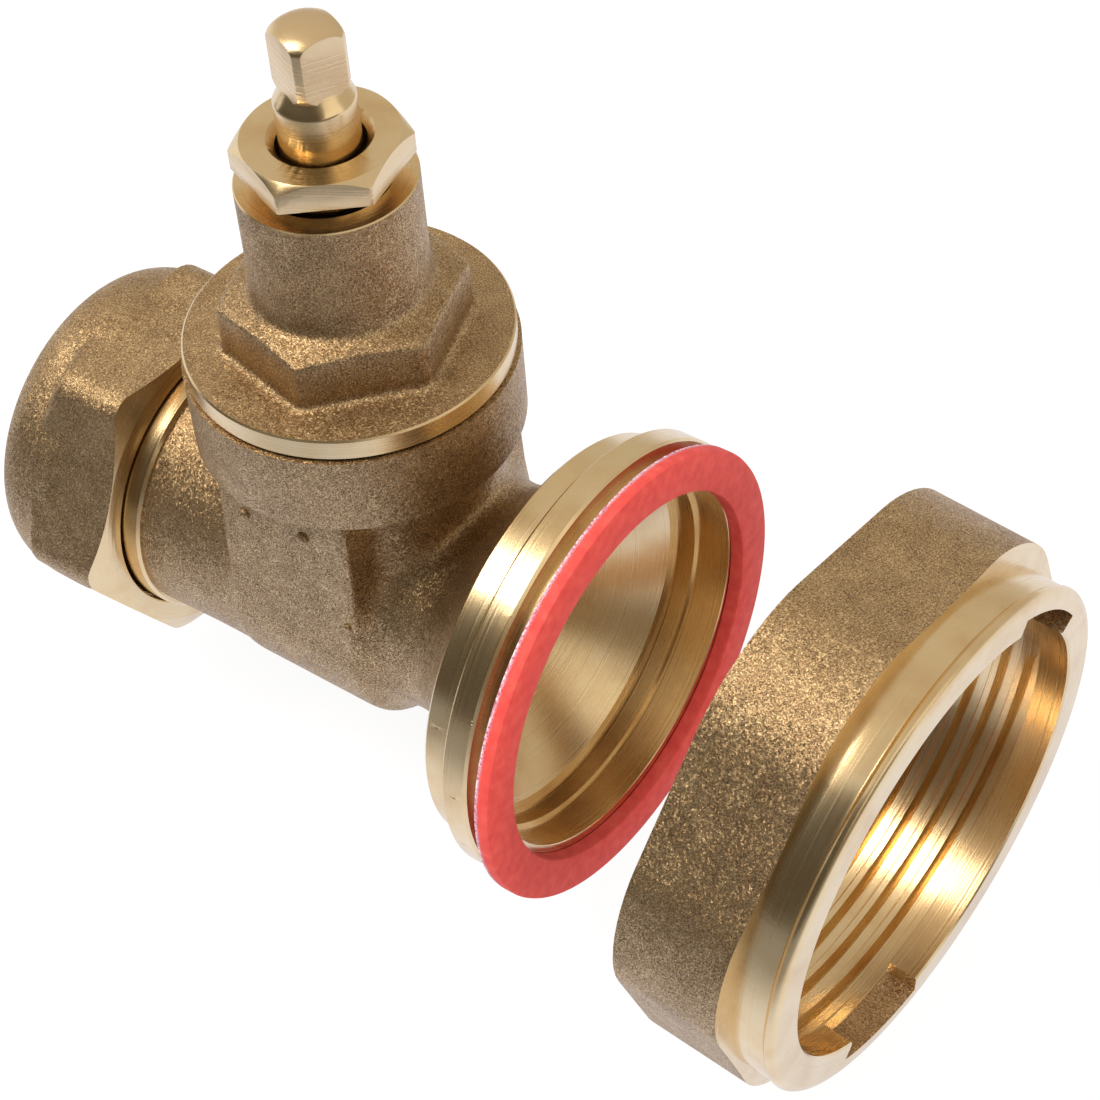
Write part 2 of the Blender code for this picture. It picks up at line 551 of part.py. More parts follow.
def union_nut(look):
    """The big pump nut: cast hexagon, turned shoulder and collar, rolled end, inner lip and two entry notches."""
    place("union_centre", UNION_PLACE, UNION_LEAN, bpy.data.objects["valve_centre"])

    def shaped(name, builder):
        return piece(name, builder, carrier="union_centre")

    back = -UNION_LENGTH
    corner_r = UNION_HEX / math.sqrt(3)
    hexagon = prism(6, UNION_HEX, back, -UNION_BEAD, "X", UNION_HEX_TURN, UNION_CORNER_R)
    nut = piece("union_nut", hexagon, look, "union_centre")
    shoulder = -UNION_SHOULDER
    blank = [
        (back - PAST, 0), (back - PAST, UNION_HEX / 2 - EDGE), (back + UNION_BACK_CHAMFER, corner_r),
        (shoulder - UNION_SHOULDER_CONE, corner_r), (shoulder, UNION_HEX / 2 - EDGE), (shoulder, 0),
    ]
    combine(nut, shaped("union_blank", spun(blank, "X")), "INTERSECT")
    collar = [
        (back + PAST, 0), (back + PAST, UNION_COLLAR_R - EDGE), (shoulder - EDGE, UNION_COLLAR_R),
        (-UNION_BEAD - EDGE, UNION_COLLAR_R - EDGE), (-UNION_BEAD, UNION_BEAD_R - EDGE),
    ]
    rolled = UNION_BEAD - EDGE
    for index in range(5):
        angle = math.pi / 2 * index / 4
        collar.append((-rolled * (1 - math.sin(angle)), UNION_BEAD_R - rolled * (1 - math.cos(angle)) / 2))
    collar.append((0, 0))
    combine(nut, shaped("union_collar", spun(collar, "X")), "UNION")

    lip_back = -UNION_LIP
    bore = [
        (back - PAST, 0), (back - PAST, UNION_RELIEF_R + PAST), (back + PAST, UNION_THREAD_R),
        (lip_back - UNION_RELIEF, UNION_THREAD_R), (lip_back - UNION_RELIEF, UNION_RELIEF_R),
        (lip_back, UNION_RELIEF_R), (lip_back, UNION_LIP_R), (PAST, UNION_LIP_R), (PAST, 0),
    ]
    hollow = shaped("union_hollow", spun(bore, "X"))
    inside = UNION_LIP_R - PAST
    notch = [(lip_back - EDGE, inside), (PAST, inside), (PAST, NOTCH_R), (lip_back - EDGE, NOTCH_R)]
    for number, centre in enumerate(NOTCH_CENTRES, 1):
        cut = spun(notch, "X", 4, NOTCH_SPAN, centre - NOTCH_SPAN / 2)
        combine(hollow, shaped(f"union_notch_{number}", cut), "UNION")
    combine(nut, hollow, "DIFFERENCE")


def build():
    empty_scene()
    place("valve_centre", (PIPE_STOP, 0.0, 0.0))
    cast_brass = material("cast brass", (0.36, 0.25, 0.12), 0.55, 1.0)
    turned_brass = material("turned brass", (0.72, 0.50, 0.20), 0.22, 1.0)
    red_fibre = material("red fibre", (0.72, 0.07, 0.06), 0.80, 0.0)
    black_packing = material("graphite packing", (0.03, 0.03, 0.03), 0.70, 0.0)

    valve_body(cast_brass)
    bonnet(cast_brass)
    gasket_foot = BOSS_TOP + GAP
    ring("bonnet_gasket", gasket_foot, gasket_foot + GASKET, PLUG_R + GAP, SEAT_R - GAP, black_packing)
    gate(turned_brass)
    stem(turned_brass)
    for name, foot in zip(("packing_lower", "packing_upper"), PACKING_FEET):
        ring(name, foot, foot + PACKING, SHANK_R + GAP, BOX_FILL_R, black_packing)
    ring("gland_ring", RING_FOOT, RING_TOP, SHANK_R + GAP, BOX_FILL_R, turned_brass)
    gland_nut(turned_brass)
    compression_nut(cast_brass)
    olive(turned_brass)
    washer = ring("pump_washer", WASHER_BACK, WASHER_BACK + WASHER, WASHER_HOLE_R, WASHER_R, red_fibre, "X", ROUND)
    washer.location.z = -WASHER_DROP
    union_nut(cast_brass)


build()
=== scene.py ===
"""A brass lockshield pump valve with its red fibre washer and its loose union nut, on a white studio floor."""
import math

import bpy
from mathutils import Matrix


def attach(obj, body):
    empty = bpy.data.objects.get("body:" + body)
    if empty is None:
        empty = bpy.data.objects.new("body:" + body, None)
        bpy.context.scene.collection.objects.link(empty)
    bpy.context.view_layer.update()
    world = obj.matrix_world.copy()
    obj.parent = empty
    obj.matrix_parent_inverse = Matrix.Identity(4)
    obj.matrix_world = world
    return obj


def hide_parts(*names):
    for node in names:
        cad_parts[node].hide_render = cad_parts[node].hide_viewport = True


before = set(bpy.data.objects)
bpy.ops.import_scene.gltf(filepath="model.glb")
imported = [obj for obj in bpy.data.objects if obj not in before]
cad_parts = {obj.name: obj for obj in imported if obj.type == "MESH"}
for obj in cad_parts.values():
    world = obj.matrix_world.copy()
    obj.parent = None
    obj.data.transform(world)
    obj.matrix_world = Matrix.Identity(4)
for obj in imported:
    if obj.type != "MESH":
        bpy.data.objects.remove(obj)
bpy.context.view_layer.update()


# Valve body
# One brass casting, shot-blasted outside: pipe stub, gate chamber with a plain pad, bonnet boss and neck.
# The threaded spigot, the pump flange and every bore are then turned on a lathe, so they come out bright.
CENTRE = 0.012                  # the stem's axis, ahead of the pipe stop at the origin
PIPE_R = 0.0111
PORT_R = 0.0087
CAST_GRID = 0.00030             # spacing of the points on a cast skin
WELD = 1e-6                     # points this close are one point
NEAR = 1e-5                     # tolerance when points are picked by their place
PAST = 0.001                    # how far a tool runs past the face it cuts
GROOVE_MOUTH, GROOVE_FLOOR = 0.84, 0.42     # a thread groove's mouth by the pitch, and its floor by its mouth


def outline_point(along, radius, axis, at):
    """An outline's point in the frame: out along +Y from the flow axis, or along +X from the stem axis."""
    return (at + along, radius, 0.0) if axis == "X" else (at + radius, 0.0, along)


def draw_outline(outline, axis, at):
    """Starts an object as one point and extrudes it along an outline of (place along the axis, radius)."""
    bpy.ops.object.select_all(action="DESELECT")
    corners = [outline_point(along, radius, axis, at) for along, radius in outline]
    bpy.ops.mesh.primitive_plane_add(size=0.001, location=corners[0])
    bpy.ops.object.mode_set(mode="EDIT")
    bpy.ops.mesh.merge(type="CENTER")
    for here, there in zip(corners, corners[1:]):
        step = [end - start for start, end in zip(here, there)]
        bpy.ops.mesh.extrude_region_move(TRANSFORM_OT_translate={"value": step})
    bpy.ops.mesh.select_all(action="SELECT")
    return bpy.context.object


def settle():
    """Applies the place, turn and scale of the selected object."""
    bpy.ops.object.transform_apply(location=True, rotation=True, scale=True)


def turned(name, outline, axis="X", at=CENTRE, look=None, steps=160):
    """A lathe-turned solid: the outline is spun about the flow axis (X) or the stem axis (Z)."""
    blank = draw_outline(outline, axis, at)
    blank.name = name
    bpy.ops.mesh.remove_doubles(threshold=WELD)
    spindle = (1, 0, 0) if axis == "X" else (0, 0, 1)
    bpy.ops.mesh.spin(steps=steps, angle=2 * math.pi, center=(at, 0, 0), axis=spindle)
    bpy.ops.mesh.select_all(action="SELECT")
    bpy.ops.mesh.remove_doubles(threshold=WELD)
    bpy.ops.mesh.normals_make_consistent(inside=False)
    bpy.ops.object.mode_set(mode="OBJECT")
    settle()
    if look:
        blank.data.materials.append(look)
    return blank


def pick(shape, wanted):
    """In edit mode, selects the points whose place passes the test."""
    bpy.ops.mesh.select_all(action="DESELECT")
    bpy.ops.object.mode_set(mode="OBJECT")
    for point in shape.data.vertices:
        point.select = wanted(shape.matrix_world @ point.co)
    bpy.ops.object.mode_set(mode="EDIT")


def select_only(shape):
    """Makes one object the selected and active one."""
    bpy.ops.object.select_all(action="DESELECT")
    shape.select_set(True)
    bpy.context.view_layer.objects.active = shape


def finish_with(shape, kind, **settings):
    """Adds one modifier to a shape and applies it."""
    select_only(shape)
    step = shape.modifiers.new(kind.lower(), kind)
    for name, value in settings.items():
        setattr(step, name, value)
    bpy.ops.object.modifier_apply(modifier=step.name)


def machine(shape, tool, operation="DIFFERENCE"):
    """Cuts with a tool, or joins it on. New faces keep the tool's finish, and the tool is put away."""
    finish_with(shape, "BOOLEAN", object=tool, operation=operation, solver="MANIFOLD", material_mode="TRANSFER")
    bpy.data.objects.remove(tool)


def cast(name, forms, look, softening):
    """Pours overlapping forms into one skin: joined, remeshed and smoothed so that corners get cast radii."""
    casting = forms[0]
    select_only(casting)
    for form in forms[1:]:
        form.select_set(True)
    if len(forms) > 1:
        bpy.ops.object.join()
    casting.name = name
    finish_with(casting, "REMESH", mode="VOXEL", voxel_size=CAST_GRID)
    finish_with(casting, "SMOOTH", factor=0.5, iterations=softening)
    casting.data.materials.clear()
    casting.data.materials.append(look)
    return casting


def smooth_by_angle(shape, degrees=32):
    """Shades a shape smooth, but for edges that bend more than the angle."""
    select_only(shape)
    bpy.ops.object.shade_smooth_by_angle(angle=math.radians(degrees))


def thread_cutter(name, base_r, tip_r, pitch, start, turns, look):
    """A worm with a thread's section, wound about the flow axis, that cuts a thread into a bore or a spigot."""
    bpy.ops.object.select_all(action="DESELECT")
    bpy.ops.mesh.primitive_plane_add(size=1, location=(start, (base_r + tip_r) / 2, 0))
    worm = bpy.context.object
    worm.name = name
    worm.scale = (GROOVE_MOUTH * pitch, tip_r - base_r, 1)
    settle()
    bpy.ops.object.mode_set(mode="EDIT")
    pick(worm, lambda place: abs(place.y - tip_r) < NEAR)
    bpy.ops.transform.resize(value=(GROOVE_FLOOR, 1, 1), center_override=(start, tip_r, 0))
    bpy.ops.mesh.select_all(action="SELECT")
    bpy.ops.mesh.delete(type="ONLY_FACE")
    bpy.ops.object.mode_set(mode="OBJECT")
    finish_with(worm, "SCREW", axis="X", screw_offset=pitch, iterations=turns, steps=72, render_steps=72)
    bpy.ops.object.mode_set(mode="EDIT")
    bpy.ops.mesh.select_all(action="SELECT")
    bpy.ops.mesh.remove_doubles(threshold=WELD)
    bpy.ops.mesh.fill_holes(sides=0)
    bpy.ops.mesh.normals_make_consistent(inside=False)
    bpy.ops.object.mode_set(mode="OBJECT")
    worm.data.materials.append(look)
    return worm


def linear(hex_code):
    """An sRGB hex colour as linear light, with full alpha."""
    shares = [int(hex_code[place:place + 2], 16) / 255 for place in (1, 3, 5)]
    return [share / 12.92 if share <= 0.04045 else ((share + 0.055) / 1.055) ** 2.4 for share in shares] + [1.0]


def node(look, kind, values=None, links=None):
    """Adds one shader node, sets its properties, sockets and colour stops, and links its inputs."""
    made = look.node_tree.nodes.new(kind)
    for key, value in (values or {}).items():
        if key == "stops":
            stops = made.color_ramp.elements
            for place, colour in value[2:]:
                stops.new(place)
            for stop, (place, colour) in zip(stops, value):
                stop.position = place
                stop.color = linear(colour)
        elif isinstance(key, int) or key in made.inputs:
            made.inputs[key].default_value = value
        else:
            setattr(made, key, value)
    for key, source in (links or {}).items():
        look.node_tree.links.new(source, made.inputs[key])
    return made


def empty_material(name):
    """A material with nothing in it but a Principled shader on its output."""
    look = bpy.data.materials.new(name)
    look.use_nodes = True
    return look, look.node_tree.nodes["Principled BSDF"]


def cast_brass():
    """Shot-blasted cast brass: a gold-brown skin of small facets, each tilted its own way, so that some flash."""
    look, shader = empty_material("shot_blasted_cast_brass")
    facet, tilt = 0.00019, 0.40     # width of one dent left by the shot, in metres, and how far dents lean
    pit, patch = 0.00013, 0.0025    # size of the grain, and of darker and paler patches
    place = node(look, "ShaderNodeTexCoord").outputs["Object"]
    facets = node(look, "ShaderNodeTexVoronoi", {"Scale": 1 / facet}, {"Vector": place})
    lean = node(look, "ShaderNodeVectorMath", {"operation": "MULTIPLY_ADD", 1: (tilt,) * 3, 2: (-tilt / 2,) * 3},
                {0: facets.outputs["Color"]})
    skin = node(look, "ShaderNodeNewGeometry").outputs["Normal"]
    tilted = node(look, "ShaderNodeVectorMath", {"operation": "ADD"}, {0: skin, 1: lean.outputs[0]})
    grain = node(look, "ShaderNodeTexNoise", {"Scale": 1 / pit, "Detail": 2.0, "Roughness": 0.6}, {"Vector": place})
    tone = node(look, "ShaderNodeTexNoise", {"Scale": 1 / patch, "Detail": 3.0}, {"Vector": place})
    shade = node(look, "ShaderNodeMath", {"operation": "MULTIPLY_ADD", 1: 0.18},
                 {0: tone.outputs["Fac"], 2: grain.outputs["Fac"]})
    colour = node(look, "ShaderNodeValToRGB",
                  {"stops": [(0.42, "#7E664C"), (0.60, "#B69872"), (0.78, "#E6CEA2")]}, {"Fac": shade.outputs[0]})
    gloss = node(look, "ShaderNodeMapRange", {"From Min": 0.3, "From Max": 0.7, "To Min": 0.58, "To Max": 0.40},
                 {"Value": grain.outputs["Fac"]})
    relief = node(look, "ShaderNodeBump", {"Strength": 1.0, "Distance": 0.00004},
                  {"Height": grain.outputs["Fac"], "Normal": tilted.outputs[0]})
    links = look.node_tree.links
    links.new(colour.outputs["Color"], shader.inputs["Base Color"])
    links.new(gloss.outputs["Result"], shader.inputs["Roughness"])
    links.new(relief.outputs["Normal"], shader.inputs["Normal"])
    shader.inputs["Metallic"].default_value = 1.0
    return look


def turned_brass(name, centre, lean, round_axes):
    """Bright brass off the lathe: gold, with fine rings round the spindle that pull highlights into streaks."""
    look, shader = empty_material(name)
    ring = 0.00022              # tool feed, drawn about twice as coarse as the real one so that it shows
    cloud = 0.004               # size of the faint stains
    place = node(look, "ShaderNodeTexCoord").outputs["Object"]
    centred = node(look, "ShaderNodeMapping", {"vector_type": "TEXTURE", "Location": centre, "Rotation": lean},
                   {"Vector": place})
    radial = node(look, "ShaderNodeVectorMath", {"operation": "MULTIPLY", 1: round_axes},
                  {0: centred.outputs["Vector"]})
    radius = node(look, "ShaderNodeVectorMath", {"operation": "LENGTH"}, {0: radial.outputs[0]})
    axis = [1 - share for share in round_axes]
    along = node(look, "ShaderNodeVectorMath", {"operation": "DOT_PRODUCT", 1: axis}, {0: centred.outputs["Vector"]})
    path = node(look, "ShaderNodeMath", {"operation": "ADD"}, {0: radius.outputs["Value"], 1: along.outputs["Value"]})
    rings = node(look, "ShaderNodeTexNoise",
                 {"noise_dimensions": "1D", "Scale": 1 / ring, "Detail": 2.0}, {"W": path.outputs[0]})
    stain = node(look, "ShaderNodeTexNoise", {"Scale": 1 / cloud, "Detail": 4.0}, {"Vector": place})
    colour = node(look, "ShaderNodeValToRGB",
                  {"stops": [(0.25, "#DDBE90"), (0.50, "#E7CDA0"), (0.75, "#EBD5AC")]}, {"Fac": stain.outputs["Fac"]})
    gloss = node(look, "ShaderNodeMapRange", {"To Min": 0.15, "To Max": 0.33}, {"Value": rings.outputs["Fac"]})
    relief = node(look, "ShaderNodeBump", {"Strength": 0.6, "Distance": 0.000012}, {"Height": rings.outputs["Fac"]})
    links = look.node_tree.links
    links.new(colour.outputs["Color"], shader.inputs["Base Color"])
    links.new(gloss.outputs["Result"], shader.inputs["Roughness"])
    links.new(relief.outputs["Normal"], shader.inputs["Normal"])
    shader.inputs["Metallic"].default_value = 1.0
    return look


CAST = cast_brass()
TURNED_ON_FLOW = turned_brass("brass_turned_on_the_flow_axis", (0, 0, 0), (0, 0, 0), (0, 1, 1))
TURNED_ON_STEM = turned_brass("brass_turned_on_the_stem_axis", (CENTRE, 0, 0), (0, 0, 0), (1, 1, 0))

BODY_TUBE_R, TUBE_SWELL = 0.0132, 0.0002
PIPE_STOP, TUBE_END = -0.012, -0.004
CHAMBER_R = 0.0135
CHAMBER_BACK, CHAMBER_FRONT = -0.0071, 0.0079
CHAMBER_TOP, CHAMBER_DRAFT = 0.0178, 0.92
CHAMBER_EDGE = 0.0004
BOSS_R, BOSS_ROOT_R = 0.0149, 0.0122
BOSS_ROOT_FOOT = PORT_R / 2
BOSS_FOOT, GASKET_SEAT, BOSS_TOP = 0.0176, 0.02455, 0.02562
BOSS_FILLET, BOSS_LEDGE = 0.0042, 0.0016
BOSS_EDGE = ((0, 0.0003), (0.0001, 0.0001), (0.0003, 0))        # up and in from the boss's lower corner
NECK_R, NECK_END = 0.0115, 0.0125
NECK_FILLET = ((0, 0.0019), (0.0004, 0.0012), (0.0011, 0.0006), (0.0021, 0.0002))   # ahead and out from the corner
FLANGE_BACK, FLANGE_STEP, FLANGE_FACE, SEAT_FACE = 0.0203, 0.0234, 0.0260, 0.0273
FLARE_R, FLARE_CURVE, FLARE_TUCK = 0.0186, 1.6, 0.0015
REAR_RING_R, FRONT_RING_R, SEAT_RING_R, MOUTH_R = 0.0198, 0.0214, 0.0197, 0.0178
SPIGOT_END, SPIGOT_ROOT, SPIGOT_BAND = -0.0287, -0.0203, -0.0183
SPIGOT_R, SPIGOT_BAND_R = 0.0140, 0.0139
SPIGOT_CHAMFER, SPIGOT_RUNOUT = 0.0008, 0.0004
SPIGOT_CREST_R, SPIGOT_CORE_R, SPIGOT_TURNS = 0.0142, 0.0131, 5
PITCH = 0.0015                  # of the thread between the spigot and its nut
BREAK = 0.00025                 # a turned edge, broken with a file
ROUND_POINTS = 96               # points round a slab
ARC_STEPS = 12


def quarter_turn(steps):
    """Angles from nothing to a right angle, in even steps."""
    return [math.pi / 2 * number / steps for number in range(steps + 1)]


tube_form = turned("tube_form", [
    (SPIGOT_BAND - PAST, 0), (SPIGOT_BAND - PAST, BODY_TUBE_R + TUBE_SWELL), (PIPE_STOP, BODY_TUBE_R),
    (TUBE_END, BODY_TUBE_R), (TUBE_END, 0)])
neck = [(0, 0), (0, NECK_R + NECK_FILLET[0][1])]
neck += [(CHAMBER_FRONT + ahead, NECK_R + out) for ahead, out in NECK_FILLET]
neck.append((NECK_END - PAST, NECK_R))
for number in range(1, ARC_STEPS + 1):
    share = number / ARC_STEPS
    neck.append((NECK_END + (FLANGE_BACK - NECK_END) * share, NECK_R + (FLARE_R - NECK_R) * share ** FLARE_CURVE))
neck += [(FLANGE_BACK + FLARE_TUCK, FLARE_R), (FLANGE_BACK + FLARE_TUCK, 0)]
neck_form = turned("neck_form", neck)
boss_root = [(BOSS_ROOT_FOOT, 0), (BOSS_ROOT_FOOT, BOSS_ROOT_R)]
for angle in quarter_turn(ARC_STEPS):
    boss_root.append((BOSS_FOOT - BOSS_FILLET * (1 - math.sin(angle)),
                      BOSS_ROOT_R + (BOSS_R - BOSS_LEDGE - BOSS_ROOT_R) * (1 - math.cos(angle))))
boss_root += [(BOSS_FOOT + PAST, BOSS_R - BOSS_LEDGE), (BOSS_FOOT + PAST, 0)]
boss_form = turned("boss_form", boss_root, "Z")


def slab(name, radius, back, front, top=None):
    """A round slab across the flow, left in edit mode. A top draws its upper half up to a flat."""
    bpy.ops.object.select_all(action="DESELECT")
    bpy.ops.mesh.primitive_cylinder_add(
        vertices=ROUND_POINTS, radius=radius, depth=front - back, rotation=(0, math.pi / 2, 0),
        location=(CENTRE + (front + back) / 2, 0, 0))
    made = bpy.context.object
    made.name = name
    settle()
    bpy.ops.object.mode_set(mode="EDIT")
    if top:
        pick(made, lambda place: place.z > CAST_GRID)
        bpy.ops.transform.resize(value=(1, 1, 0), center_override=(CENTRE, 0, 0))
        bpy.ops.transform.translate(value=(0, 0, top))
    return made


chamber_form = slab("chamber_form", CHAMBER_R, CHAMBER_BACK, CHAMBER_FRONT, CHAMBER_TOP)
bpy.ops.transform.resize(value=(1, CHAMBER_DRAFT, 1), center_override=(CENTRE, 0, 0))
for end in (CENTRE + CHAMBER_BACK, CENTRE + CHAMBER_FRONT):
    pick(chamber_form, lambda place: abs(place.x - end) < NEAR)
    bpy.ops.mesh.bevel(offset=CHAMBER_EDGE, segments=3, affect="EDGES")
bpy.ops.object.mode_set(mode="OBJECT")

# The hollow between chamber, boss and neck is cast with a wider radius, so its points are smoothed further
SADDLE_BACK, SADDLE_FRONT = CHAMBER_FRONT - 0.0003, NECK_END + 0.004
SADDLE_FOOT, SADDLE_TOP = 0.002, BOSS_FOOT - 0.0004
SADDLE_HALF = CHAMBER_R - 0.0013
BODY_SOFTENING, SADDLE_SOFTENING = 26, 90
body = cast("valve_casting", [tube_form, neck_form, boss_form, chamber_form], CAST, BODY_SOFTENING)
bpy.ops.object.mode_set(mode="EDIT")
pick(body, lambda place: SADDLE_BACK < place.x - CENTRE < SADDLE_FRONT and SADDLE_FOOT < place.z < SADDLE_TOP
     and abs(place.y) < SADDLE_HALF)
bpy.ops.object.vertex_group_add()
bpy.ops.object.vertex_group_assign()
bpy.ops.object.mode_set(mode="OBJECT")
finish_with(body, "SMOOTH", factor=0.5, iterations=SADDLE_SOFTENING, vertex_group=body.vertex_groups.active.name)
bpy.ops.object.vertex_group_remove(all=True)
boss = [(BOSS_FOOT, 0)] + [(BOSS_FOOT + up, BOSS_R - inward) for up, inward in BOSS_EDGE]
boss += [(BOSS_TOP, BOSS_R), (BOSS_TOP, 0)]
machine(body, turned("boss", boss, "Z", look=CAST), "UNION")


def ball(radius, place, look):
    """A small flattened ball: joined on, it leaves a pimple, and cut away, a nick."""
    bpy.ops.object.select_all(action="DESELECT")
    bpy.ops.mesh.primitive_uv_sphere_add(segments=24, ring_count=12, radius=radius, scale=(1, 0.7, 1), location=place)
    made = bpy.context.object
    settle()
    made.data.materials.append(look)
    return made


# Cast dots on the pad: place along, across and up, and radius
PAD_DOTS = ((-0.0039, -0.01269, 0.0133, 0.0006), (0.0029, -0.01265, 0.014, 0.0006),
            (0.0071, -0.01318, 0.0053, 0.0004))
for along, across, up, dot_r in PAD_DOTS:
    machine(body, ball(dot_r, (CENTRE + along, across, up), CAST), "UNION")
flange = turned("flange", [
    (FLANGE_BACK, 0), (FLANGE_BACK, REAR_RING_R - BREAK), (FLANGE_BACK + BREAK, REAR_RING_R),
    (FLANGE_STEP, REAR_RING_R), (FLANGE_STEP, FRONT_RING_R - BREAK), (FLANGE_STEP + BREAK, FRONT_RING_R),
    (FLANGE_FACE - BREAK, FRONT_RING_R), (FLANGE_FACE, FRONT_RING_R - BREAK), (FLANGE_FACE, SEAT_RING_R),
    (SEAT_FACE, SEAT_RING_R), (SEAT_FACE, 0)], look=TURNED_ON_FLOW)
machine(body, flange, "UNION")
# Nicks in the flange's edges: degrees round the axis, place along it, and radius
NICKS = ((126, 0.0259, 0.00025), (141, 0.0260, 0.00022), (152, 0.0258, 0.00030),
         (161, 0.0215, 0.00022), (166, 0.0260, 0.00034), (175, 0.0248, 0.00024),
         (183, 0.0259, 0.00030), (195, 0.0246, 0.00045), (204, 0.0260, 0.00036))
for degrees, nick_x, nick_r in NICKS:
    ring_r = (FRONT_RING_R if nick_x > FLANGE_STEP else REAR_RING_R) + 0.5 * nick_r
    turn = math.radians(degrees)
    machine(body, ball(nick_r, (CENTRE + nick_x, ring_r * math.cos(turn), ring_r * math.sin(turn)), TURNED_ON_FLOW))
spigot = turned("spigot", [
    (SPIGOT_END, 0), (SPIGOT_END, SPIGOT_R - SPIGOT_CHAMFER), (SPIGOT_END + SPIGOT_CHAMFER, SPIGOT_R),
    (SPIGOT_ROOT, SPIGOT_R), (SPIGOT_ROOT + SPIGOT_RUNOUT, SPIGOT_BAND_R), (SPIGOT_BAND, SPIGOT_BAND_R),
    (SPIGOT_BAND + BREAK, SPIGOT_BAND_R - BREAK), (SPIGOT_BAND + BREAK, 0)], look=TURNED_ON_FLOW)
machine(body, spigot, "UNION")
machine(body, thread_cutter("spigot_thread", SPIGOT_CREST_R, SPIGOT_CORE_R, PITCH, SPIGOT_END + CENTRE - PAST,
                            SPIGOT_TURNS, TURNED_ON_FLOW))
SOCKET_ENTRY_R, SOCKET_MOUTH_R, SOCKET_CONE_END = 0.0129, 0.0128, -0.0255
PORT_END, CONE_END, CONE_END_R = 0.0125, 0.0214, 0.0167
MOUTH_GROOVE_R, MOUTH_GROOVE_END, MOUTH_CHAMFER = 0.0174, 0.0237, 0.00006
flow_way = turned("flow_way", [
    (SPIGOT_END - PAST, 0), (SPIGOT_END - PAST, SOCKET_ENTRY_R), (SPIGOT_END, SOCKET_MOUTH_R),
    (SOCKET_CONE_END, PIPE_R), (PIPE_STOP, PIPE_R), (PIPE_STOP, PORT_R), (PORT_END, PORT_R), (CONE_END, CONE_END_R),
    (CONE_END, MOUTH_GROOVE_R), (MOUTH_GROOVE_END, MOUTH_GROOVE_R), (MOUTH_GROOVE_END, MOUTH_R),
    (SEAT_FACE - MOUTH_CHAMFER, MOUTH_R), (SEAT_FACE + PAST, MOUTH_R + MOUTH_CHAMFER + PAST), (SEAT_FACE + PAST, 0)],
    look=TURNED_ON_FLOW)
machine(body, flow_way)
WELL_FOOT, WELL_R, GASKET_POCKET_R = 0.0186, 0.0129, 0.0142
bonnet_seat = turned("bonnet_seat", [
    (WELL_FOOT, 0), (WELL_FOOT, WELL_R), (GASKET_SEAT, WELL_R), (GASKET_SEAT, GASKET_POCKET_R),
    (BOSS_TOP + PAST, GASKET_POCKET_R), (BOSS_TOP + PAST, 0)], "Z", look=TURNED_ON_STEM)
machine(body, bonnet_seat)

GATE_R, GATE_HALF, GATE_TAPER = 0.0100, 0.0044, math.radians(4.0)
SLOT_R, SLOT_HALF, SLOT_TOP = 0.0104, 0.0047, 0.0236


def wedge_disc(name, radius, half, look, top=None):
    """A round slab across the flow whose two faces lean in towards its foot. A top draws it up into a slot."""
    disc = slab(name, radius, -half, half, top)
    for side in (-1, 1):
        pick(disc, lambda place: side * (place.x - CENTRE) > 0)
        bpy.ops.transform.rotate(
            value=side * -GATE_TAPER, orient_axis="Y", center_override=(CENTRE + side * half, 0, 0))
    bpy.ops.object.mode_set(mode="OBJECT")
    disc.data.materials.append(look)
    return disc


machine(body, wedge_disc("gate_slot", SLOT_R, SLOT_HALF, TURNED_ON_FLOW, SLOT_TOP))
smooth_by_angle(body)
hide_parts("valve_body")
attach(body, "body")


# Olive
# A soft brass ring, turned with a taper at both ends.
# The compression nut squeezes it between the spigot's mouth and its own cone, so that it grips the pipe.
OLIVE_MID, OLIVE_HALF, OLIVE_FLAT = -0.0300, 0.0029, 0.0005
OLIVE_R, OLIVE_END_R, OLIVE_EDGE = 0.0127, 0.0117, 0.00015
olive = turned("olive_ring", [
    (OLIVE_MID - OLIVE_HALF, PIPE_R), (OLIVE_MID - OLIVE_HALF, OLIVE_END_R), (OLIVE_MID - OLIVE_FLAT, OLIVE_R),
    (OLIVE_MID + OLIVE_FLAT, OLIVE_R), (OLIVE_MID + OLIVE_HALF, OLIVE_END_R), (OLIVE_MID + OLIVE_HALF, PIPE_R),
    (OLIVE_MID - OLIVE_HALF, PIPE_R)], look=TURNED_ON_FLOW)
finish_with(olive, "BEVEL", width=OLIVE_EDGE, segments=2, limit_method="ANGLE")
smooth_by_angle(olive)
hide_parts("olive")
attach(olive, "olive")


# Compression nut
# A cast brass hexagon with a round collar towards the pipe, shot-blasted like the body.
# The bevel towards the body and the threaded bore are turned, and the nut screws onto the spigot.
NUT_FLATS, NUT_CORNER, NUT_TURN = 0.0321, 0.0028, math.radians(122.5)
NUT_FACE, NUT_HEX_END, NUT_END = -0.0199, -0.0283, -0.0344
NUT_TUCK = 0.0013               # the hexagon runs on into the collar
NUT_FALL, NUT_FALL_R, NUT_SHOULDER_R, NUT_CORNER_R = 0.0018, 0.0146, 0.0186, 0.0190
NUT_COLLAR_R, COLLAR_ROUND, COLLAR_FALL = 0.0164, 0.0040, 0.0020
NUT_BEVEL = ((0.00249, 0.0202), (0.0001, 0.01617), (0, 0.0160))     # behind the face, and radius
NUT_ENTRY, NUT_ENTRY_R, NUT_BORE_R, NUT_BORE_END = 0.0001, 0.0153, 0.0142, -0.0305
NUT_CONE_R, NUT_CONE_END, NUT_HOLE_R = 0.0138, -0.0339, 0.0113
NUT_CREST_R, NUT_ROOT_R, NUT_THREAD, NUT_TURNS = 0.0141, 0.0150, 0.0104, 6


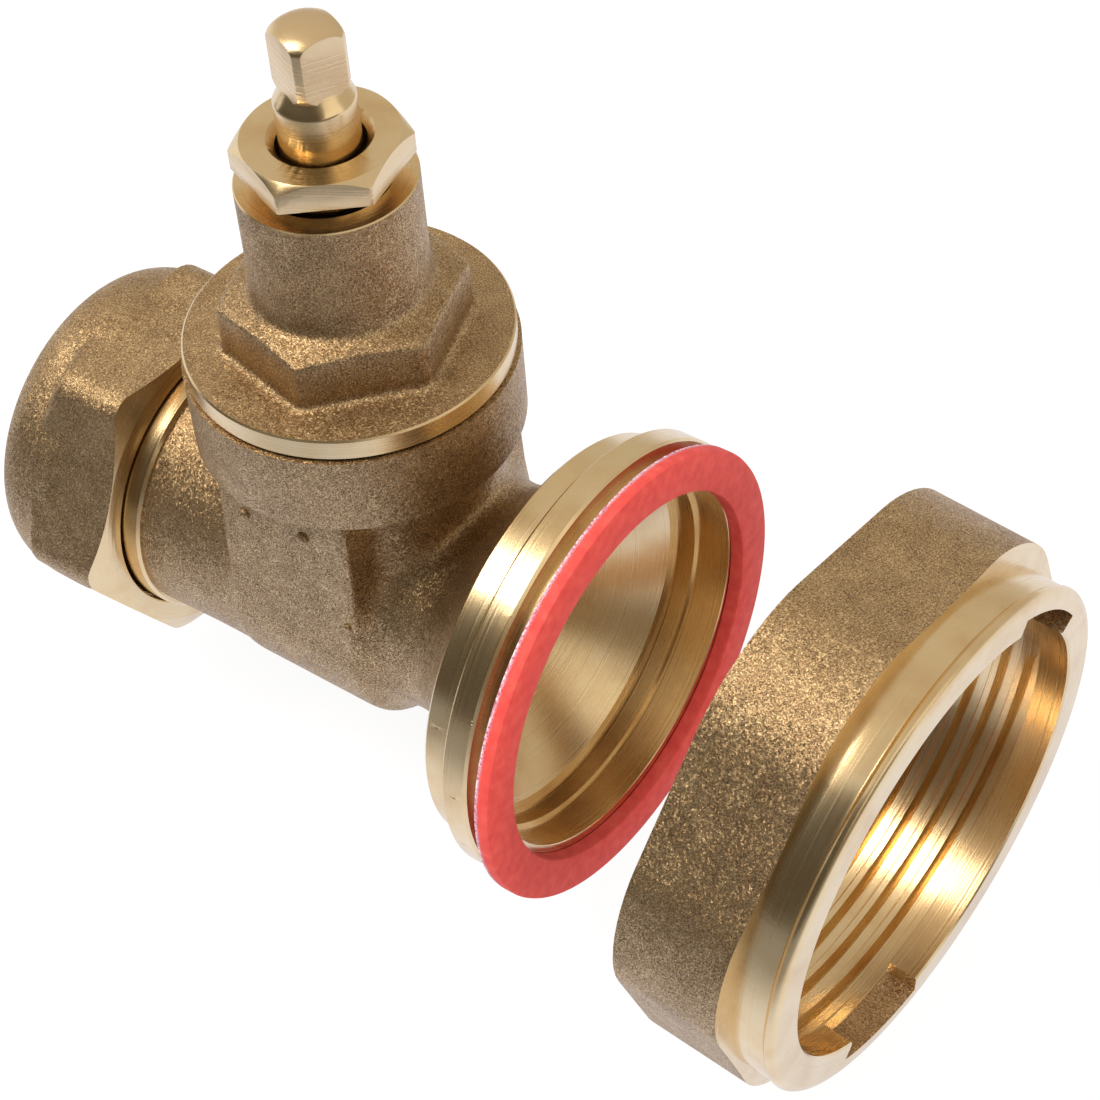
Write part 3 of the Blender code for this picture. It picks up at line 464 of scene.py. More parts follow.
def hexagon(name, flats, foot, top, axis, turn, corner, at=CENTRE):
    """A six-sided bar about the flow or the stem axis: its long edges are rounded, then its ends are closed."""
    bpy.ops.object.select_all(action="DESELECT")
    bpy.ops.mesh.primitive_cylinder_add(
        vertices=6, radius=flats / math.sqrt(3), depth=top - foot, end_fill_type="NOTHING")
    bar = bpy.context.object
    bar.name = name
    bar.rotation_mode = "ZYX"
    middle = (foot + top) / 2
    bar.location = (at + middle, 0, 0) if axis == "X" else (at, 0, middle)
    bar.rotation_euler = (turn, math.pi / 2, 0) if axis == "X" else (0, 0, turn - math.pi / 6)
    settle()
    bpy.ops.object.mode_set(mode="EDIT")
    bpy.ops.mesh.select_all(action="SELECT")
    bpy.ops.mesh.bevel(offset=corner * math.tan(math.pi / 6), segments=10, affect="EDGES")
    bpy.ops.mesh.select_all(action="SELECT")
    bpy.ops.mesh.fill_holes(sides=0)
    bpy.ops.mesh.normals_make_consistent(inside=False)
    bpy.ops.object.mode_set(mode="OBJECT")
    return bar


nut_bar = hexagon("nut_bar", NUT_FLATS, NUT_HEX_END - NUT_TUCK, NUT_FACE + PAST, "X", NUT_TURN, NUT_CORNER)
nut_shoulder = turned("nut_shoulder", [
    (NUT_HEX_END - NUT_FALL, 0), (NUT_HEX_END - NUT_FALL, NUT_FALL_R), (NUT_HEX_END, NUT_SHOULDER_R),
    (0, NUT_CORNER_R), (0, 0)])
machine(nut_bar, nut_shoulder, "INTERSECT")
collar = [(NUT_HEX_END + PAST, 0), (NUT_HEX_END + PAST, NUT_COLLAR_R)]
for angle in quarter_turn(ARC_STEPS):
    collar.append((NUT_END + COLLAR_ROUND * (1 - math.sin(angle)), NUT_COLLAR_R - COLLAR_FALL * (1 - math.cos(angle))))
collar.append((NUT_END, 0))
compression_nut = cast("nut_casting", [nut_bar, turned("nut_collar", collar)], CAST, softening=3)
nut_bevel = [(NUT_END - 2 * PAST, 0), (NUT_END - 2 * PAST, NUT_BEVEL[0][1])]
nut_bevel += [(NUT_FACE - behind, radius) for behind, radius in NUT_BEVEL]
nut_bevel.append((NUT_FACE, 0))
machine(compression_nut, turned("nut_bevel", nut_bevel, look=TURNED_ON_FLOW), "INTERSECT")
nut_bore = turned("nut_bore", [
    (NUT_FACE + PAST, 0), (NUT_FACE + PAST, NUT_ENTRY_R), (NUT_FACE - NUT_ENTRY, NUT_BORE_R),
    (NUT_BORE_END, NUT_BORE_R), (NUT_BORE_END, NUT_CONE_R), (NUT_CONE_END, NUT_HOLE_R), (NUT_END - PAST, NUT_HOLE_R),
    (NUT_END - PAST, 0)], look=TURNED_ON_FLOW)
machine(compression_nut, nut_bore)
machine(compression_nut, thread_cutter("nut_thread", NUT_CREST_R, NUT_ROOT_R, PITCH, NUT_FACE + CENTRE - NUT_THREAD,
                                       NUT_TURNS, TURNED_ON_FLOW))
smooth_by_angle(compression_nut)
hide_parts("compression_nut")
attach(compression_nut, "compression_nut")


# Gate
# A machined brass wedge with a round hub, drawn up into the bonnet while the valve is open.
# Its hub is a blind nut on the stem's thread, so turning the stem moves it.
LIFT = 0.0190
HUB_R, HUB_FOOT, HUB_TOP = 0.0046, 0.0045, 0.0146
THREAD_BORE_R = 0.00325
GATE_SKIN, GATE_EDGE = 0.0009, 0.0003       # below the blind thread, and round the gate's edges
gate = wedge_disc("gate_wedge", GATE_R, GATE_HALF, TURNED_ON_FLOW)
finish_with(gate, "BEVEL", width=GATE_EDGE, segments=3, limit_method="ANGLE")
machine(gate, turned("hub", [
    (HUB_FOOT, 0), (HUB_FOOT, HUB_R), (HUB_TOP - BREAK, HUB_R), (HUB_TOP, HUB_R - BREAK), (HUB_TOP, 0)], "Z",
    look=TURNED_ON_STEM), "UNION")
machine(gate, turned("hub_bore", [
    (GATE_SKIN - GATE_R, 0), (GATE_SKIN - GATE_R, THREAD_BORE_R), (HUB_TOP + PAST, THREAD_BORE_R),
    (HUB_TOP + PAST, 0)], "Z", look=TURNED_ON_STEM))
gate.location.z = LIFT
settle()
smooth_by_angle(gate)
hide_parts("gate")
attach(gate, "gate")


# Bonnet gasket
# A thin graphited ring, cut from sheet.
# The bonnet's disc clamps it on the boss, and only its edge shows as a dark line.
GASKET_FOOT, GASKET_TOP = 0.02485, 0.02545
GASKET_HOLE_R, GASKET_R = 0.0129, 0.0139
RING_EDGE = 0.22                # a soft ring's edge radius by its height


def graphite():
    """Graphited packing: dull and almost black, with a faint grey fleck."""
    look, shader = empty_material("graphited_packing")
    size = 0.0004               # of a fleck
    place = node(look, "ShaderNodeTexCoord").outputs["Object"]
    fleck = node(look, "ShaderNodeTexNoise", {"Scale": 1 / size, "Detail": 3.0}, {"Vector": place})
    colour = node(look, "ShaderNodeValToRGB", {"stops": [(0.35, "#1B1A19"), (0.75, "#3A3734")]},
                  {"Fac": fleck.outputs["Fac"]})
    look.node_tree.links.new(colour.outputs["Color"], shader.inputs["Base Color"])
    shader.inputs["Roughness"].default_value = 0.62
    return look


GRAPHITE = graphite()


def soft_ring(name, foot, top, inner, outer, look):
    """A flat ring about the stem with rounded edges."""
    made = turned(name, [(foot, inner), (foot, outer), (top, outer), (top, inner), (foot, inner)], "Z", look=look)
    finish_with(made, "BEVEL", width=RING_EDGE * (top - foot), segments=3, limit_method="ANGLE")
    smooth_by_angle(made)
    return made


bonnet_gasket = soft_ring("gasket_ring", GASKET_FOOT, GASKET_TOP, GASKET_HOLE_R, GASKET_R, GRAPHITE)
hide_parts("bonnet_gasket")
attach(bonnet_gasket, "body")


# Bonnet
# The cast brass cap over the chamber: a round disc, a spanner hexagon and the tower that holds the packing.
# Its plug screws into the boss. The disc's rim, the tower's top and all bores are turned.
DISC_R, DISC_FOOT, DISC_TOP, DISC_EDGE = 0.0146, 0.02575, 0.02795, 0.00016
TOWER_R, TOWER_TOP = 0.0078, 0.0445
TOWER_FILLET = ((-0.0001, 0.0008), (0.0001, 0.0004), (0.0004, 0.0001), (0.0008, 0))     # up and out from its foot
TOWER_CHAMFER, TOWER_CHAMFER_OUT, TOWER_CHAMFER_IN = 0.0004, 0.00028, 0.00012
BONNET_FLATS, BONNET_HEX_TOP, BONNET_TURN, BONNET_CORNER = 0.0194, 0.0332, math.radians(-12.3), 0.0008
BONNET_FALL, BONNET_FALL_R, BONNET_CLEAR_R = 0.0015, 0.0084, 0.0140
PLUG_FOOT, PLUG_R, PLUG_CHAMFER, PLUG_TUCK = 0.01955, 0.0126, 0.0004, 0.0005
GATE_ROOM_FOOT, GATE_ROOM_R = 0.0185, 0.0113
RIM_ROOM_R, RIM_ROOM_TOP, RIM_ROOM_DROP = 0.0081, 0.0305, 0.0003
HUB_ROOM_R, HUB_ROOM_FOOT, HUB_ROOM_TOP = 0.0052, 0.0315, 0.0339
BOX_R, BOX_FOOT, BOX_ENTRY = 0.00545, 0.0354, 0.0003
disc = [(DISC_FOOT - PAST, 0), (DISC_FOOT - PAST, DISC_R + PAST), (DISC_TOP, DISC_R + PAST), (DISC_TOP, 0)]
tower = [(DISC_FOOT, 0), (DISC_FOOT, TOWER_R + TOWER_FILLET[0][1])]
tower += [(BONNET_HEX_TOP + up, TOWER_R + out) for up, out in TOWER_FILLET]
tower += [(TOWER_TOP + PAST, TOWER_R), (TOWER_TOP + PAST, 0)]
bonnet_bar = hexagon("bonnet_bar", BONNET_FLATS, DISC_FOOT, BONNET_HEX_TOP + PAST, "Z", BONNET_TURN, BONNET_CORNER)
bonnet_fall = turned("bonnet_fall", [
    (DISC_FOOT - PAST, 0), (DISC_FOOT - PAST, BONNET_CLEAR_R), (BONNET_HEX_TOP - BONNET_FALL, BONNET_CLEAR_R),
    (BONNET_HEX_TOP, BONNET_FALL_R), (BONNET_HEX_TOP, 0)], "Z")
machine(bonnet_bar, bonnet_fall, "INTERSECT")
bonnet = cast("bonnet_casting", [turned("disc_form", disc, "Z"), turned("tower_form", tower, "Z"), bonnet_bar], CAST,
              softening=8)
trim = turned("bonnet_trim", [
    (DISC_FOOT, 0), (DISC_FOOT, DISC_R - BREAK), (DISC_FOOT + BREAK, DISC_R), (DISC_TOP - DISC_EDGE, DISC_R),
    (DISC_TOP, DISC_R - DISC_EDGE), (TOWER_TOP - TOWER_CHAMFER, DISC_R - DISC_EDGE),
    (TOWER_TOP - TOWER_CHAMFER, TOWER_R + TOWER_CHAMFER_OUT), (TOWER_TOP, TOWER_R - TOWER_CHAMFER_IN),
    (TOWER_TOP, 0)], "Z", look=TURNED_ON_STEM)
machine(bonnet, trim, "INTERSECT")
machine(bonnet, turned("plug", [
    (PLUG_FOOT, 0), (PLUG_FOOT, PLUG_R - PLUG_CHAMFER), (PLUG_FOOT + PLUG_CHAMFER, PLUG_R),
    (DISC_FOOT + PLUG_TUCK, PLUG_R), (DISC_FOOT + PLUG_TUCK, 0)], "Z", look=TURNED_ON_STEM), "UNION")
machine(bonnet, turned("bonnet_bore", [
    (GATE_ROOM_FOOT, 0), (GATE_ROOM_FOOT, GATE_ROOM_R), (DISC_FOOT, GATE_ROOM_R),
    (DISC_TOP - RIM_ROOM_DROP, RIM_ROOM_R), (RIM_ROOM_TOP, RIM_ROOM_R), (HUB_ROOM_FOOT, HUB_ROOM_R),
    (HUB_ROOM_TOP, HUB_ROOM_R), (HUB_ROOM_TOP, THREAD_BORE_R), (BOX_FOOT, THREAD_BORE_R), (BOX_FOOT, BOX_R),
    (TOWER_TOP - BOX_ENTRY, BOX_R), (TOWER_TOP + PAST, BOX_R + BOX_ENTRY + PAST), (TOWER_TOP + PAST, 0)], "Z",
    look=TURNED_ON_STEM))
smooth_by_angle(bonnet)
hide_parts("bonnet")
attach(bonnet, "body")


# Stem
# A turned brass spindle: screw, thrust collar, polished shank and a milled square with a domed end.
# The collar is held under the packing, so the stem turns without rising.
SHANK_R, STEM_THREAD_R, STEM_COLLAR_R, STEM_CHAMFER = 0.00345, 0.00295, 0.0051, 0.0004
STEM_FOOT, COLLAR_FOOT, COLLAR_TOP = 0.0102, 0.0357, 0.0371
SHANK_END = ((0.0450, 0), (0.0523, 0), (0.0524, 0), (0.0526, 0.0001), (0.0531, 0.0005))     # height, and how far in
SQUARE, SQUARE_FOOT, SQUARE_TOP, DOME = 0.0050, 0.0540, 0.0583, 0.0014
SQUARE_CORNER_R, SQUARE_EDGE, SQUARE_TUCK = 0.0032, 0.00012, 0.0004
SQUARE_TURN, BLANK_MIDDLE, BLANK_LENGTH = math.radians(25.7 - 45), 0.0576, 0.0090
BLANK_FOOT = 0.0531
SQUARE_EASE = ((0, 0.0001), (0.0003, 0))    # up and in from the corners' foot
DOME_STEPS = 16


def milled_brass():
    """Milled or sheared brass: bright and gold, with coarse cutter lines that run a little aslant."""
    look, shader = empty_material("milled_brass")
    line, dent = 0.00020, 0.0008    # spacing of the cutter lines, and size of the dents
    place = node(look, "ShaderNodeTexCoord").outputs["Object"]
    slope = node(look, "ShaderNodeVectorMath", {"operation": "DOT_PRODUCT", 1: (0.12, 0.10, 1.0)}, {0: place})
    lines = node(look, "ShaderNodeTexNoise", {"noise_dimensions": "1D", "Scale": 1 / line, "Detail": 2.0},
                 {"W": slope.outputs["Value"]})
    dents = node(look, "ShaderNodeTexNoise", {"Scale": 1 / dent, "Detail": 2.0}, {"Vector": place})
    wear = node(look, "ShaderNodeMath", {"operation": "MULTIPLY_ADD", 1: 2.0},
                {0: dents.outputs["Fac"], 2: lines.outputs["Fac"]})
    relief = node(look, "ShaderNodeBump", {"Strength": 0.7, "Distance": 0.00002}, {"Height": wear.outputs[0]})
    gloss = node(look, "ShaderNodeMapRange", {"To Min": 0.20, "To Max": 0.40}, {"Value": lines.outputs["Fac"]})
    look.node_tree.links.new(gloss.outputs["Result"], shader.inputs["Roughness"])
    look.node_tree.links.new(relief.outputs["Normal"], shader.inputs["Normal"])
    shader.inputs["Base Color"].default_value = linear("#E6CCA2")
    shader.inputs["Metallic"].default_value = 1.0
    return look


MILLED = milled_brass()
spindle = [
    (STEM_FOOT, 0), (STEM_FOOT, STEM_THREAD_R - STEM_CHAMFER), (STEM_FOOT + STEM_CHAMFER, STEM_THREAD_R),
    (COLLAR_FOOT, STEM_THREAD_R), (COLLAR_FOOT, STEM_COLLAR_R - BREAK), (COLLAR_FOOT + BREAK, STEM_COLLAR_R),
    (COLLAR_TOP - BREAK, STEM_COLLAR_R), (COLLAR_TOP, STEM_COLLAR_R - BREAK), (COLLAR_TOP, SHANK_R)]
spindle += [(height, SHANK_R - inward) for height, inward in SHANK_END]
spindle += [(SQUARE_FOOT + SQUARE_TUCK, SQUARE / 2 - SQUARE_TUCK), (SQUARE_FOOT + SQUARE_TUCK, 0)]
stem = turned("stem_spindle", spindle, "Z", look=TURNED_ON_STEM)
bpy.ops.object.select_all(action="DESELECT")
bpy.ops.mesh.primitive_cube_add(
    size=1, scale=(SQUARE, SQUARE, BLANK_LENGTH), rotation=(0, 0, SQUARE_TURN), location=(CENTRE, 0, BLANK_MIDDLE))
square = bpy.context.object
settle()
square.data.materials.append(MILLED)
dome = [(BLANK_FOOT, 0), (BLANK_FOOT, SQUARE / 2)]
dome += [(SQUARE_FOOT + up, SQUARE_CORNER_R - inward) for up, inward in SQUARE_EASE]
for angle in quarter_turn(DOME_STEPS):
    dome.append((SQUARE_TOP + DOME * math.sin(angle), SQUARE_CORNER_R * math.cos(angle)))
machine(square, turned("square_blank", dome, "Z", look=MILLED), "INTERSECT")
finish_with(square, "BEVEL", width=SQUARE_EDGE, segments=2, limit_method="ANGLE", angle_limit=math.radians(25))
machine(stem, square, "UNION")
smooth_by_angle(stem)
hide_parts("stem")
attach(stem, "stem")


# Packing rings
# Two graphited rings in the tower, round the shank.
# The gland nut squeezes them on the stem's collar, so that no water comes past the stem.
PACKING_HEIGHT, PACKING_HOLE_R, PACKING_R = 0.0014, 0.00375, 0.00515
for name, foot in (("packing_lower", 0.0374), ("packing_upper", 0.0391)):
    packing = soft_ring(name + "_ring", foot, foot + PACKING_HEIGHT, PACKING_HOLE_R, PACKING_R, GRAPHITE)
    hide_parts(name)
    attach(packing, "body")


# Gland ring
# A small turned brass ring on top of the packing.
# The gland nut's nose presses on it and comes up with it.
GLAND_RING_FOOT, GLAND_RING_TOP = 0.0408, 0.0416
gland_ring = soft_ring("gland_washer", GLAND_RING_FOOT, GLAND_RING_TOP, PACKING_HOLE_R, PACKING_R, TURNED_ON_STEM)
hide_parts("gland_ring")
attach(gland_ring, "gland_ring")


# Gland nut
# A small brass nut turned from hexagon bar, with a screwed nose below and a countersunk hole for the shank.
# It screws into the tower and presses on the gland ring. Its top corners are bevelled on the lathe.
GLAND_FLATS, GLAND_FOOT, GLAND_TOP = 0.0134, 0.0461, 0.04865
GLAND_TURN, GLAND_CORNER, GLAND_EDGE = math.radians(40.3), 0.0004, 0.00008
GLAND_BEVEL, GLAND_FACE_R, GLAND_CLEAR_R = 0.00123, 0.0067, 0.0082
GLAND_NOSE_FOOT, GLAND_NOSE_R, NOSE_CHAMFER, NOSE_TUCK = 0.0419, 0.00515, 0.0002, 0.0004
GLAND_HOLE_R, GLAND_SINK = 0.00385, 0.00065
gland_nut = hexagon("gland_bar", GLAND_FLATS, GLAND_FOOT, GLAND_TOP + PAST, "Z", GLAND_TURN, GLAND_CORNER)
gland_nut.data.materials.append(MILLED)
gland_bevel = turned("gland_bevel", [
    (GLAND_FOOT - PAST, 0), (GLAND_FOOT - PAST, GLAND_CLEAR_R), (GLAND_TOP - GLAND_BEVEL, GLAND_CLEAR_R),
    (GLAND_TOP, GLAND_FACE_R), (GLAND_TOP, 0)], "Z", look=TURNED_ON_STEM)
machine(gland_nut, gland_bevel, "INTERSECT")
machine(gland_nut, turned("gland_nose", [
    (GLAND_NOSE_FOOT, 0), (GLAND_NOSE_FOOT, GLAND_NOSE_R - NOSE_CHAMFER),
    (GLAND_NOSE_FOOT + NOSE_CHAMFER, GLAND_NOSE_R), (GLAND_FOOT + NOSE_TUCK, GLAND_NOSE_R),
    (GLAND_FOOT + NOSE_TUCK, 0)], "Z", look=TURNED_ON_STEM), "UNION")
machine(gland_nut, turned("gland_hole", [
    (GLAND_NOSE_FOOT - PAST, 0), (GLAND_NOSE_FOOT - PAST, GLAND_HOLE_R), (GLAND_TOP - GLAND_SINK, GLAND_HOLE_R),
    (GLAND_TOP + PAST, GLAND_HOLE_R + GLAND_SINK + PAST), (GLAND_TOP + PAST, 0)], "Z", look=TURNED_ON_STEM))
finish_with(gland_nut, "BEVEL", width=GLAND_EDGE, segments=2, limit_method="ANGLE", angle_limit=math.radians(40))
smooth_by_angle(gland_nut, 25)
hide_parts("gland_nut")
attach(gland_nut, "gland_nut")


# Pump washer
# A ring punched from red vulcanised fibre, with a frayed burr where the punch came through at the back.
# It lies on the flange's raised seat and hangs a little low.
WASHER_BACK, WASHER_FRONT = 0.02735, 0.0287
WASHER_HOLE_R, WASHER_R = 0.0180, 0.0220
WASHER_DROP = 0.0008
WASHER_EDGE = ((0.0003, 0), (0.00008, 0.0001), (0, 0.0003))     # back and in from the front corners


def red_fibre():
    """Vulcanised fibre: matt red, a little mottled, and frayed to a pale mauve fuzz at the back outer edge."""
    look, shader = empty_material("red_vulcanised_fibre")
    blotch, fibre = 0.0012, 0.00025     # size of the mottling, and of one fibre
    fray = 0.0009                       # how ragged the burr's edge is
    place = node(look, "ShaderNodeTexCoord").outputs["Object"]
    mottle = node(look, "ShaderNodeTexNoise", {"Scale": 1 / blotch, "Detail": 4.0}, {"Vector": place})
    red = node(look, "ShaderNodeValToRGB", {"stops": [(0.25, "#CF3A34"), (0.50, "#DB463D"), (0.75, "#E2564A")]},
               {"Fac": mottle.outputs["Fac"]})
    fibres = node(look, "ShaderNodeTexNoise", {"Scale": 1 / fibre, "Detail": 3.0}, {"Vector": place})
    fuzz = node(look, "ShaderNodeValToRGB", {"stops": [(0.34, "#B5505C"), (0.50, "#CC94A4"), (0.66, "#F1E6EA")]},
                {"Fac": fibres.outputs["Fac"]})
    along = node(look, "ShaderNodeSeparateXYZ", links={"Vector": place})
    ragged = node(look, "ShaderNodeMath", {"operation": "MULTIPLY_ADD", 1: fray},
                  {0: fibres.outputs["Fac"], 2: along.outputs["X"]})
    back = CENTRE + WASHER_BACK + fray / 2
    frayed = node(look, "ShaderNodeMapRange", {"From Min": back + 0.0004, "From Max": back + 0.0002},
                  {"Value": ragged.outputs[0]})
    across = node(look, "ShaderNodeVectorMath", {"operation": "MULTIPLY", 1: (0, 1, 1)}, {0: place})
    radius = node(look, "ShaderNodeVectorMath", {"operation": "LENGTH"}, {0: across.outputs[0]})
    outside = node(look, "ShaderNodeMapRange",
                   {"From Min": WASHER_R - 0.0020, "From Max": WASHER_R - 0.0014, "To Max": 1.0},
                   {"Value": radius.outputs["Value"]})
    burr = node(look, "ShaderNodeMath", {"operation": "MULTIPLY"},
                {0: frayed.outputs["Result"], 1: outside.outputs["Result"]})
    colour = node(look, "ShaderNodeMixRGB", None,
                  {"Fac": burr.outputs[0], "Color1": red.outputs["Color"], "Color2": fuzz.outputs["Color"]})
    relief = node(look, "ShaderNodeBump", {"Strength": 0.5, "Distance": 0.00006}, {"Height": fibres.outputs["Fac"]})
    look.node_tree.links.new(colour.outputs["Color"], shader.inputs["Base Color"])
    look.node_tree.links.new(relief.outputs["Normal"], shader.inputs["Normal"])
    shader.inputs["Roughness"].default_value = 0.68
    return look


FIBRE = red_fibre()
section = [(WASHER_BACK, WASHER_HOLE_R), (WASHER_BACK, WASHER_R)]
section += [(WASHER_FRONT - behind, WASHER_R - inward) for behind, inward in WASHER_EDGE]
section += [(WASHER_FRONT - behind, WASHER_HOLE_R + inward) for behind, inward in reversed(WASHER_EDGE)]
section.append((WASHER_BACK, WASHER_HOLE_R))
washer = turned("washer_ring", section, look=FIBRE, steps=240)
washer.location.z = -WASHER_DROP
settle()
smooth_by_angle(washer)
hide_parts("pump_washer")
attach(washer, "body")


# Union nut
# A large cast brass hexagon with rounded corners. Its shoulder, collar, rolled end, inner lip and thread are turned.
# It is slipped off the flange and leans on the floor. Two rough notches in its lip let it pass over the flange.
UNION_PLACE = (CENTRE + 0.0606, -0.0010, -0.0015)
UNION_LEAN = (0.0, math.radians(3.45), math.radians(-2.44))
UNION_FLATS, UNION_CORNER, UNION_TURN = 0.0500, 0.0140, math.radians(51.4)
UNION_BACK, UNION_SHOULDER, UNION_SPARE = -0.0146, -0.0041, 0.0006
BACK_BEVEL = ((0, 0.0266), (0.0012, 0.0290), (0.0014, 0.0300))                      # ahead of the back, and radius
SHOULDER_CONE = [(-0.00484, 0.0300), (-0.0047, 0.0290), (UNION_SHOULDER, 0.0247)]   # place, and radius
UNION_COLLAR_R, UNION_BEAD_R, UNION_LIP_R = 0.0242, 0.0244, 0.0207
UNION_FRONT, BEAD_FOOT, BEAD_FALL, BEAD_STEPS = -0.00003, -0.0008, 0.0009, 8
BEAD_GROOVE = ((-0.0016, 0), (-0.0014, 0.0001), (-0.0012, 0.0001))                  # place, and depth in the collar
BEAD_BACK, BEAD_BACK_R = -0.0010, UNION_BEAD_R - 0.0001
THREAD_CREST_R, THREAD_ROOT_R, THREAD_PITCH = 0.02245, 0.0236, 0.002309
THREAD_END, THREAD_LEAD, THREAD_BITE, THREAD_TURNS = -0.0042, 0.0012, 0.0002, 5
ENTRY_R, RELIEF_R = 0.0240, 0.0230
LIP_BACK, LIP_CHAMFER = -0.0030, 0.0002
NOTCH_R, NOTCH_BACK, NOTCH_SPAN = 0.0225, -0.0034, math.radians(31)
NOTCHES = (-105.5, 49.0)        # degrees round the lip
TURNED_ON_UNION = turned_brass("brass_turned_on_the_union_axis", UNION_PLACE, UNION_LEAN, (0, 1, 1))

union_bar = hexagon("union_bar", UNION_FLATS, UNION_BACK - UNION_SPARE, UNION_SHOULDER + UNION_SPARE, "X", UNION_TURN,
                    UNION_CORNER, at=0)
union_nut = cast("union_casting", [union_bar], CAST, softening=3)
union_trim = [(UNION_BACK, 0)] + [(UNION_BACK + ahead, radius) for ahead, radius in BACK_BEVEL]
union_trim += SHOULDER_CONE + [(UNION_SHOULDER, 0)]
machine(union_nut, turned("union_trim", union_trim, at=0, look=TURNED_ON_UNION), "INTERSECT")
rolled_end = [(UNION_SHOULDER - 2 * PAST, 0), (UNION_SHOULDER - 2 * PAST, UNION_COLLAR_R)]
rolled_end += [(place, UNION_COLLAR_R - depth) for place, depth in BEAD_GROOVE]
rolled_end.append((BEAD_BACK, BEAD_BACK_R))
for angle in quarter_turn(BEAD_STEPS):
    rolled_end.append((BEAD_FOOT + (UNION_FRONT - BEAD_FOOT) * math.sin(angle),
                       UNION_BEAD_R - BEAD_FALL * (1 - math.cos(angle))))
rolled_end.append((UNION_FRONT, 0))
machine(union_nut, turned("union_collar", rolled_end, at=0, look=TURNED_ON_UNION), "UNION")
machine(union_nut, turned("union_bore", [
    (UNION_BACK - PAST, 0), (UNION_BACK - PAST, ENTRY_R), (UNION_BACK + PAST, THREAD_CREST_R),
    (THREAD_END, THREAD_CREST_R), (THREAD_END, RELIEF_R), (LIP_BACK, RELIEF_R), (LIP_BACK, UNION_LIP_R),
    (-LIP_CHAMFER, UNION_LIP_R), (PAST, UNION_LIP_R + LIP_CHAMFER + PAST), (PAST, 0)], at=0, look=TURNED_ON_UNION))
machine(union_nut, thread_cutter("union_thread", THREAD_CREST_R - THREAD_BITE, THREAD_ROOT_R, THREAD_PITCH,
                                 UNION_BACK - THREAD_LEAD, THREAD_TURNS, TURNED_ON_UNION))


def notch(name, centre, look):
    """A block that bites a sector out of the lip, with its middle at an angle about the nut's axis.

    With no window the spin goes backwards, so the block is turned to start at the sector's far end.
    """
    block = draw_outline([(NOTCH_BACK, UNION_LIP_R - PAST), (NOTCH_BACK, NOTCH_R), (PAST, NOTCH_R),
                          (PAST, UNION_LIP_R - PAST)], "X", 0)
    bpy.ops.mesh.edge_face_add()
    bpy.ops.mesh.spin(steps=24, angle=NOTCH_SPAN, center=(0, 0, 0), axis=(1, 0, 0))
    bpy.ops.mesh.select_all(action="SELECT")
    bpy.ops.mesh.normals_make_consistent(inside=False)
    bpy.ops.object.mode_set(mode="OBJECT")
    settle()
    block.name = name
    block.rotation_euler = (centre + NOTCH_SPAN / 2, 0, 0)
    settle()
    block.data.materials.append(look)
    return block


for number, degrees in enumerate(NOTCHES, 1):
    machine(union_nut, notch(f"notch_{number}", math.radians(degrees), CAST))
union_nut.location = UNION_PLACE
union_nut.rotation_euler = UNION_LEAN
settle()
smooth_by_angle(union_nut)
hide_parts("union_nut")
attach(union_nut, "union_nut")


# Floor, light and camera
# A white sheet under the valve, a softbox high on the left and two soft fills that only light matt surfaces.
# Grey, dark and bright cards are out of view and only give the bright metal something to reflect.
FLOOR = -0.0277
white_sheet = empty_material("white_studio_sheet")[0]
seen = node(white_sheet, "ShaderNodeLightPath")
direct = node(white_sheet, "ShaderNodeMath", {"operation": "MAXIMUM"},
              {0: seen.outputs["Is Camera Ray"], 1: seen.outputs["Is Transmission Ray"]})
paper = node(white_sheet, "ShaderNodeBsdfDiffuse", {"Color": linear("#E6E6E6")})
shadowed = node(white_sheet, "ShaderNodeBsdfDiffuse", {"Color": linear("#707070")})
glow = node(white_sheet, "ShaderNodeEmission", {"Color": linear("#FFFFFF"), "Strength": 0.88})
lit = node(white_sheet, "ShaderNodeAddShader", None, {0: shadowed.outputs[0], 1: glow.outputs[0]})
plain = node(white_sheet, "ShaderNodeMixShader", None, {0: direct.outputs[0], 1: paper.outputs[0], 2: lit.outputs[0]})
# Painted shade: in reflections the sheet is a cool glow that is painted darker the further it lies towards the front.
position = node(white_sheet, "ShaderNodeNewGeometry").outputs["Position"]
spot = node(white_sheet, "ShaderNodeSeparateXYZ", links={"Vector": position})
painted_front_shade = node(white_sheet, "ShaderNodeMapRange",
                  {"interpolation_type": "SMOOTHSTEP", "From Min": -0.105, "From Max": -0.030,
                   "To Min": 0.12, "To Max": 0.94}, {"Value": spot.outputs["Y"]})
cool = node(white_sheet, "ShaderNodeEmission", {"Color": linear("#E8EDFF")}, {"Strength": painted_front_shade.outputs["Result"]})
mirrored = node(white_sheet, "ShaderNodeAddShader", None, {0: shadowed.outputs[0], 1: cool.outputs[0]})
mixed = node(white_sheet, "ShaderNodeMixShader", None,
             {0: seen.outputs["Is Glossy Ray"], 1: plain.outputs[0], 2: mirrored.outputs[0]})
white_sheet.node_tree.links.new(mixed.outputs[0], white_sheet.node_tree.nodes["Material Output"].inputs["Surface"])
bpy.ops.object.select_all(action="DESELECT")
bpy.ops.mesh.primitive_plane_add(size=8, location=(CENTRE, 0, FLOOR))
floor = bpy.context.object
floor.name = "studio_floor"
floor.data.materials.append(white_sheet)


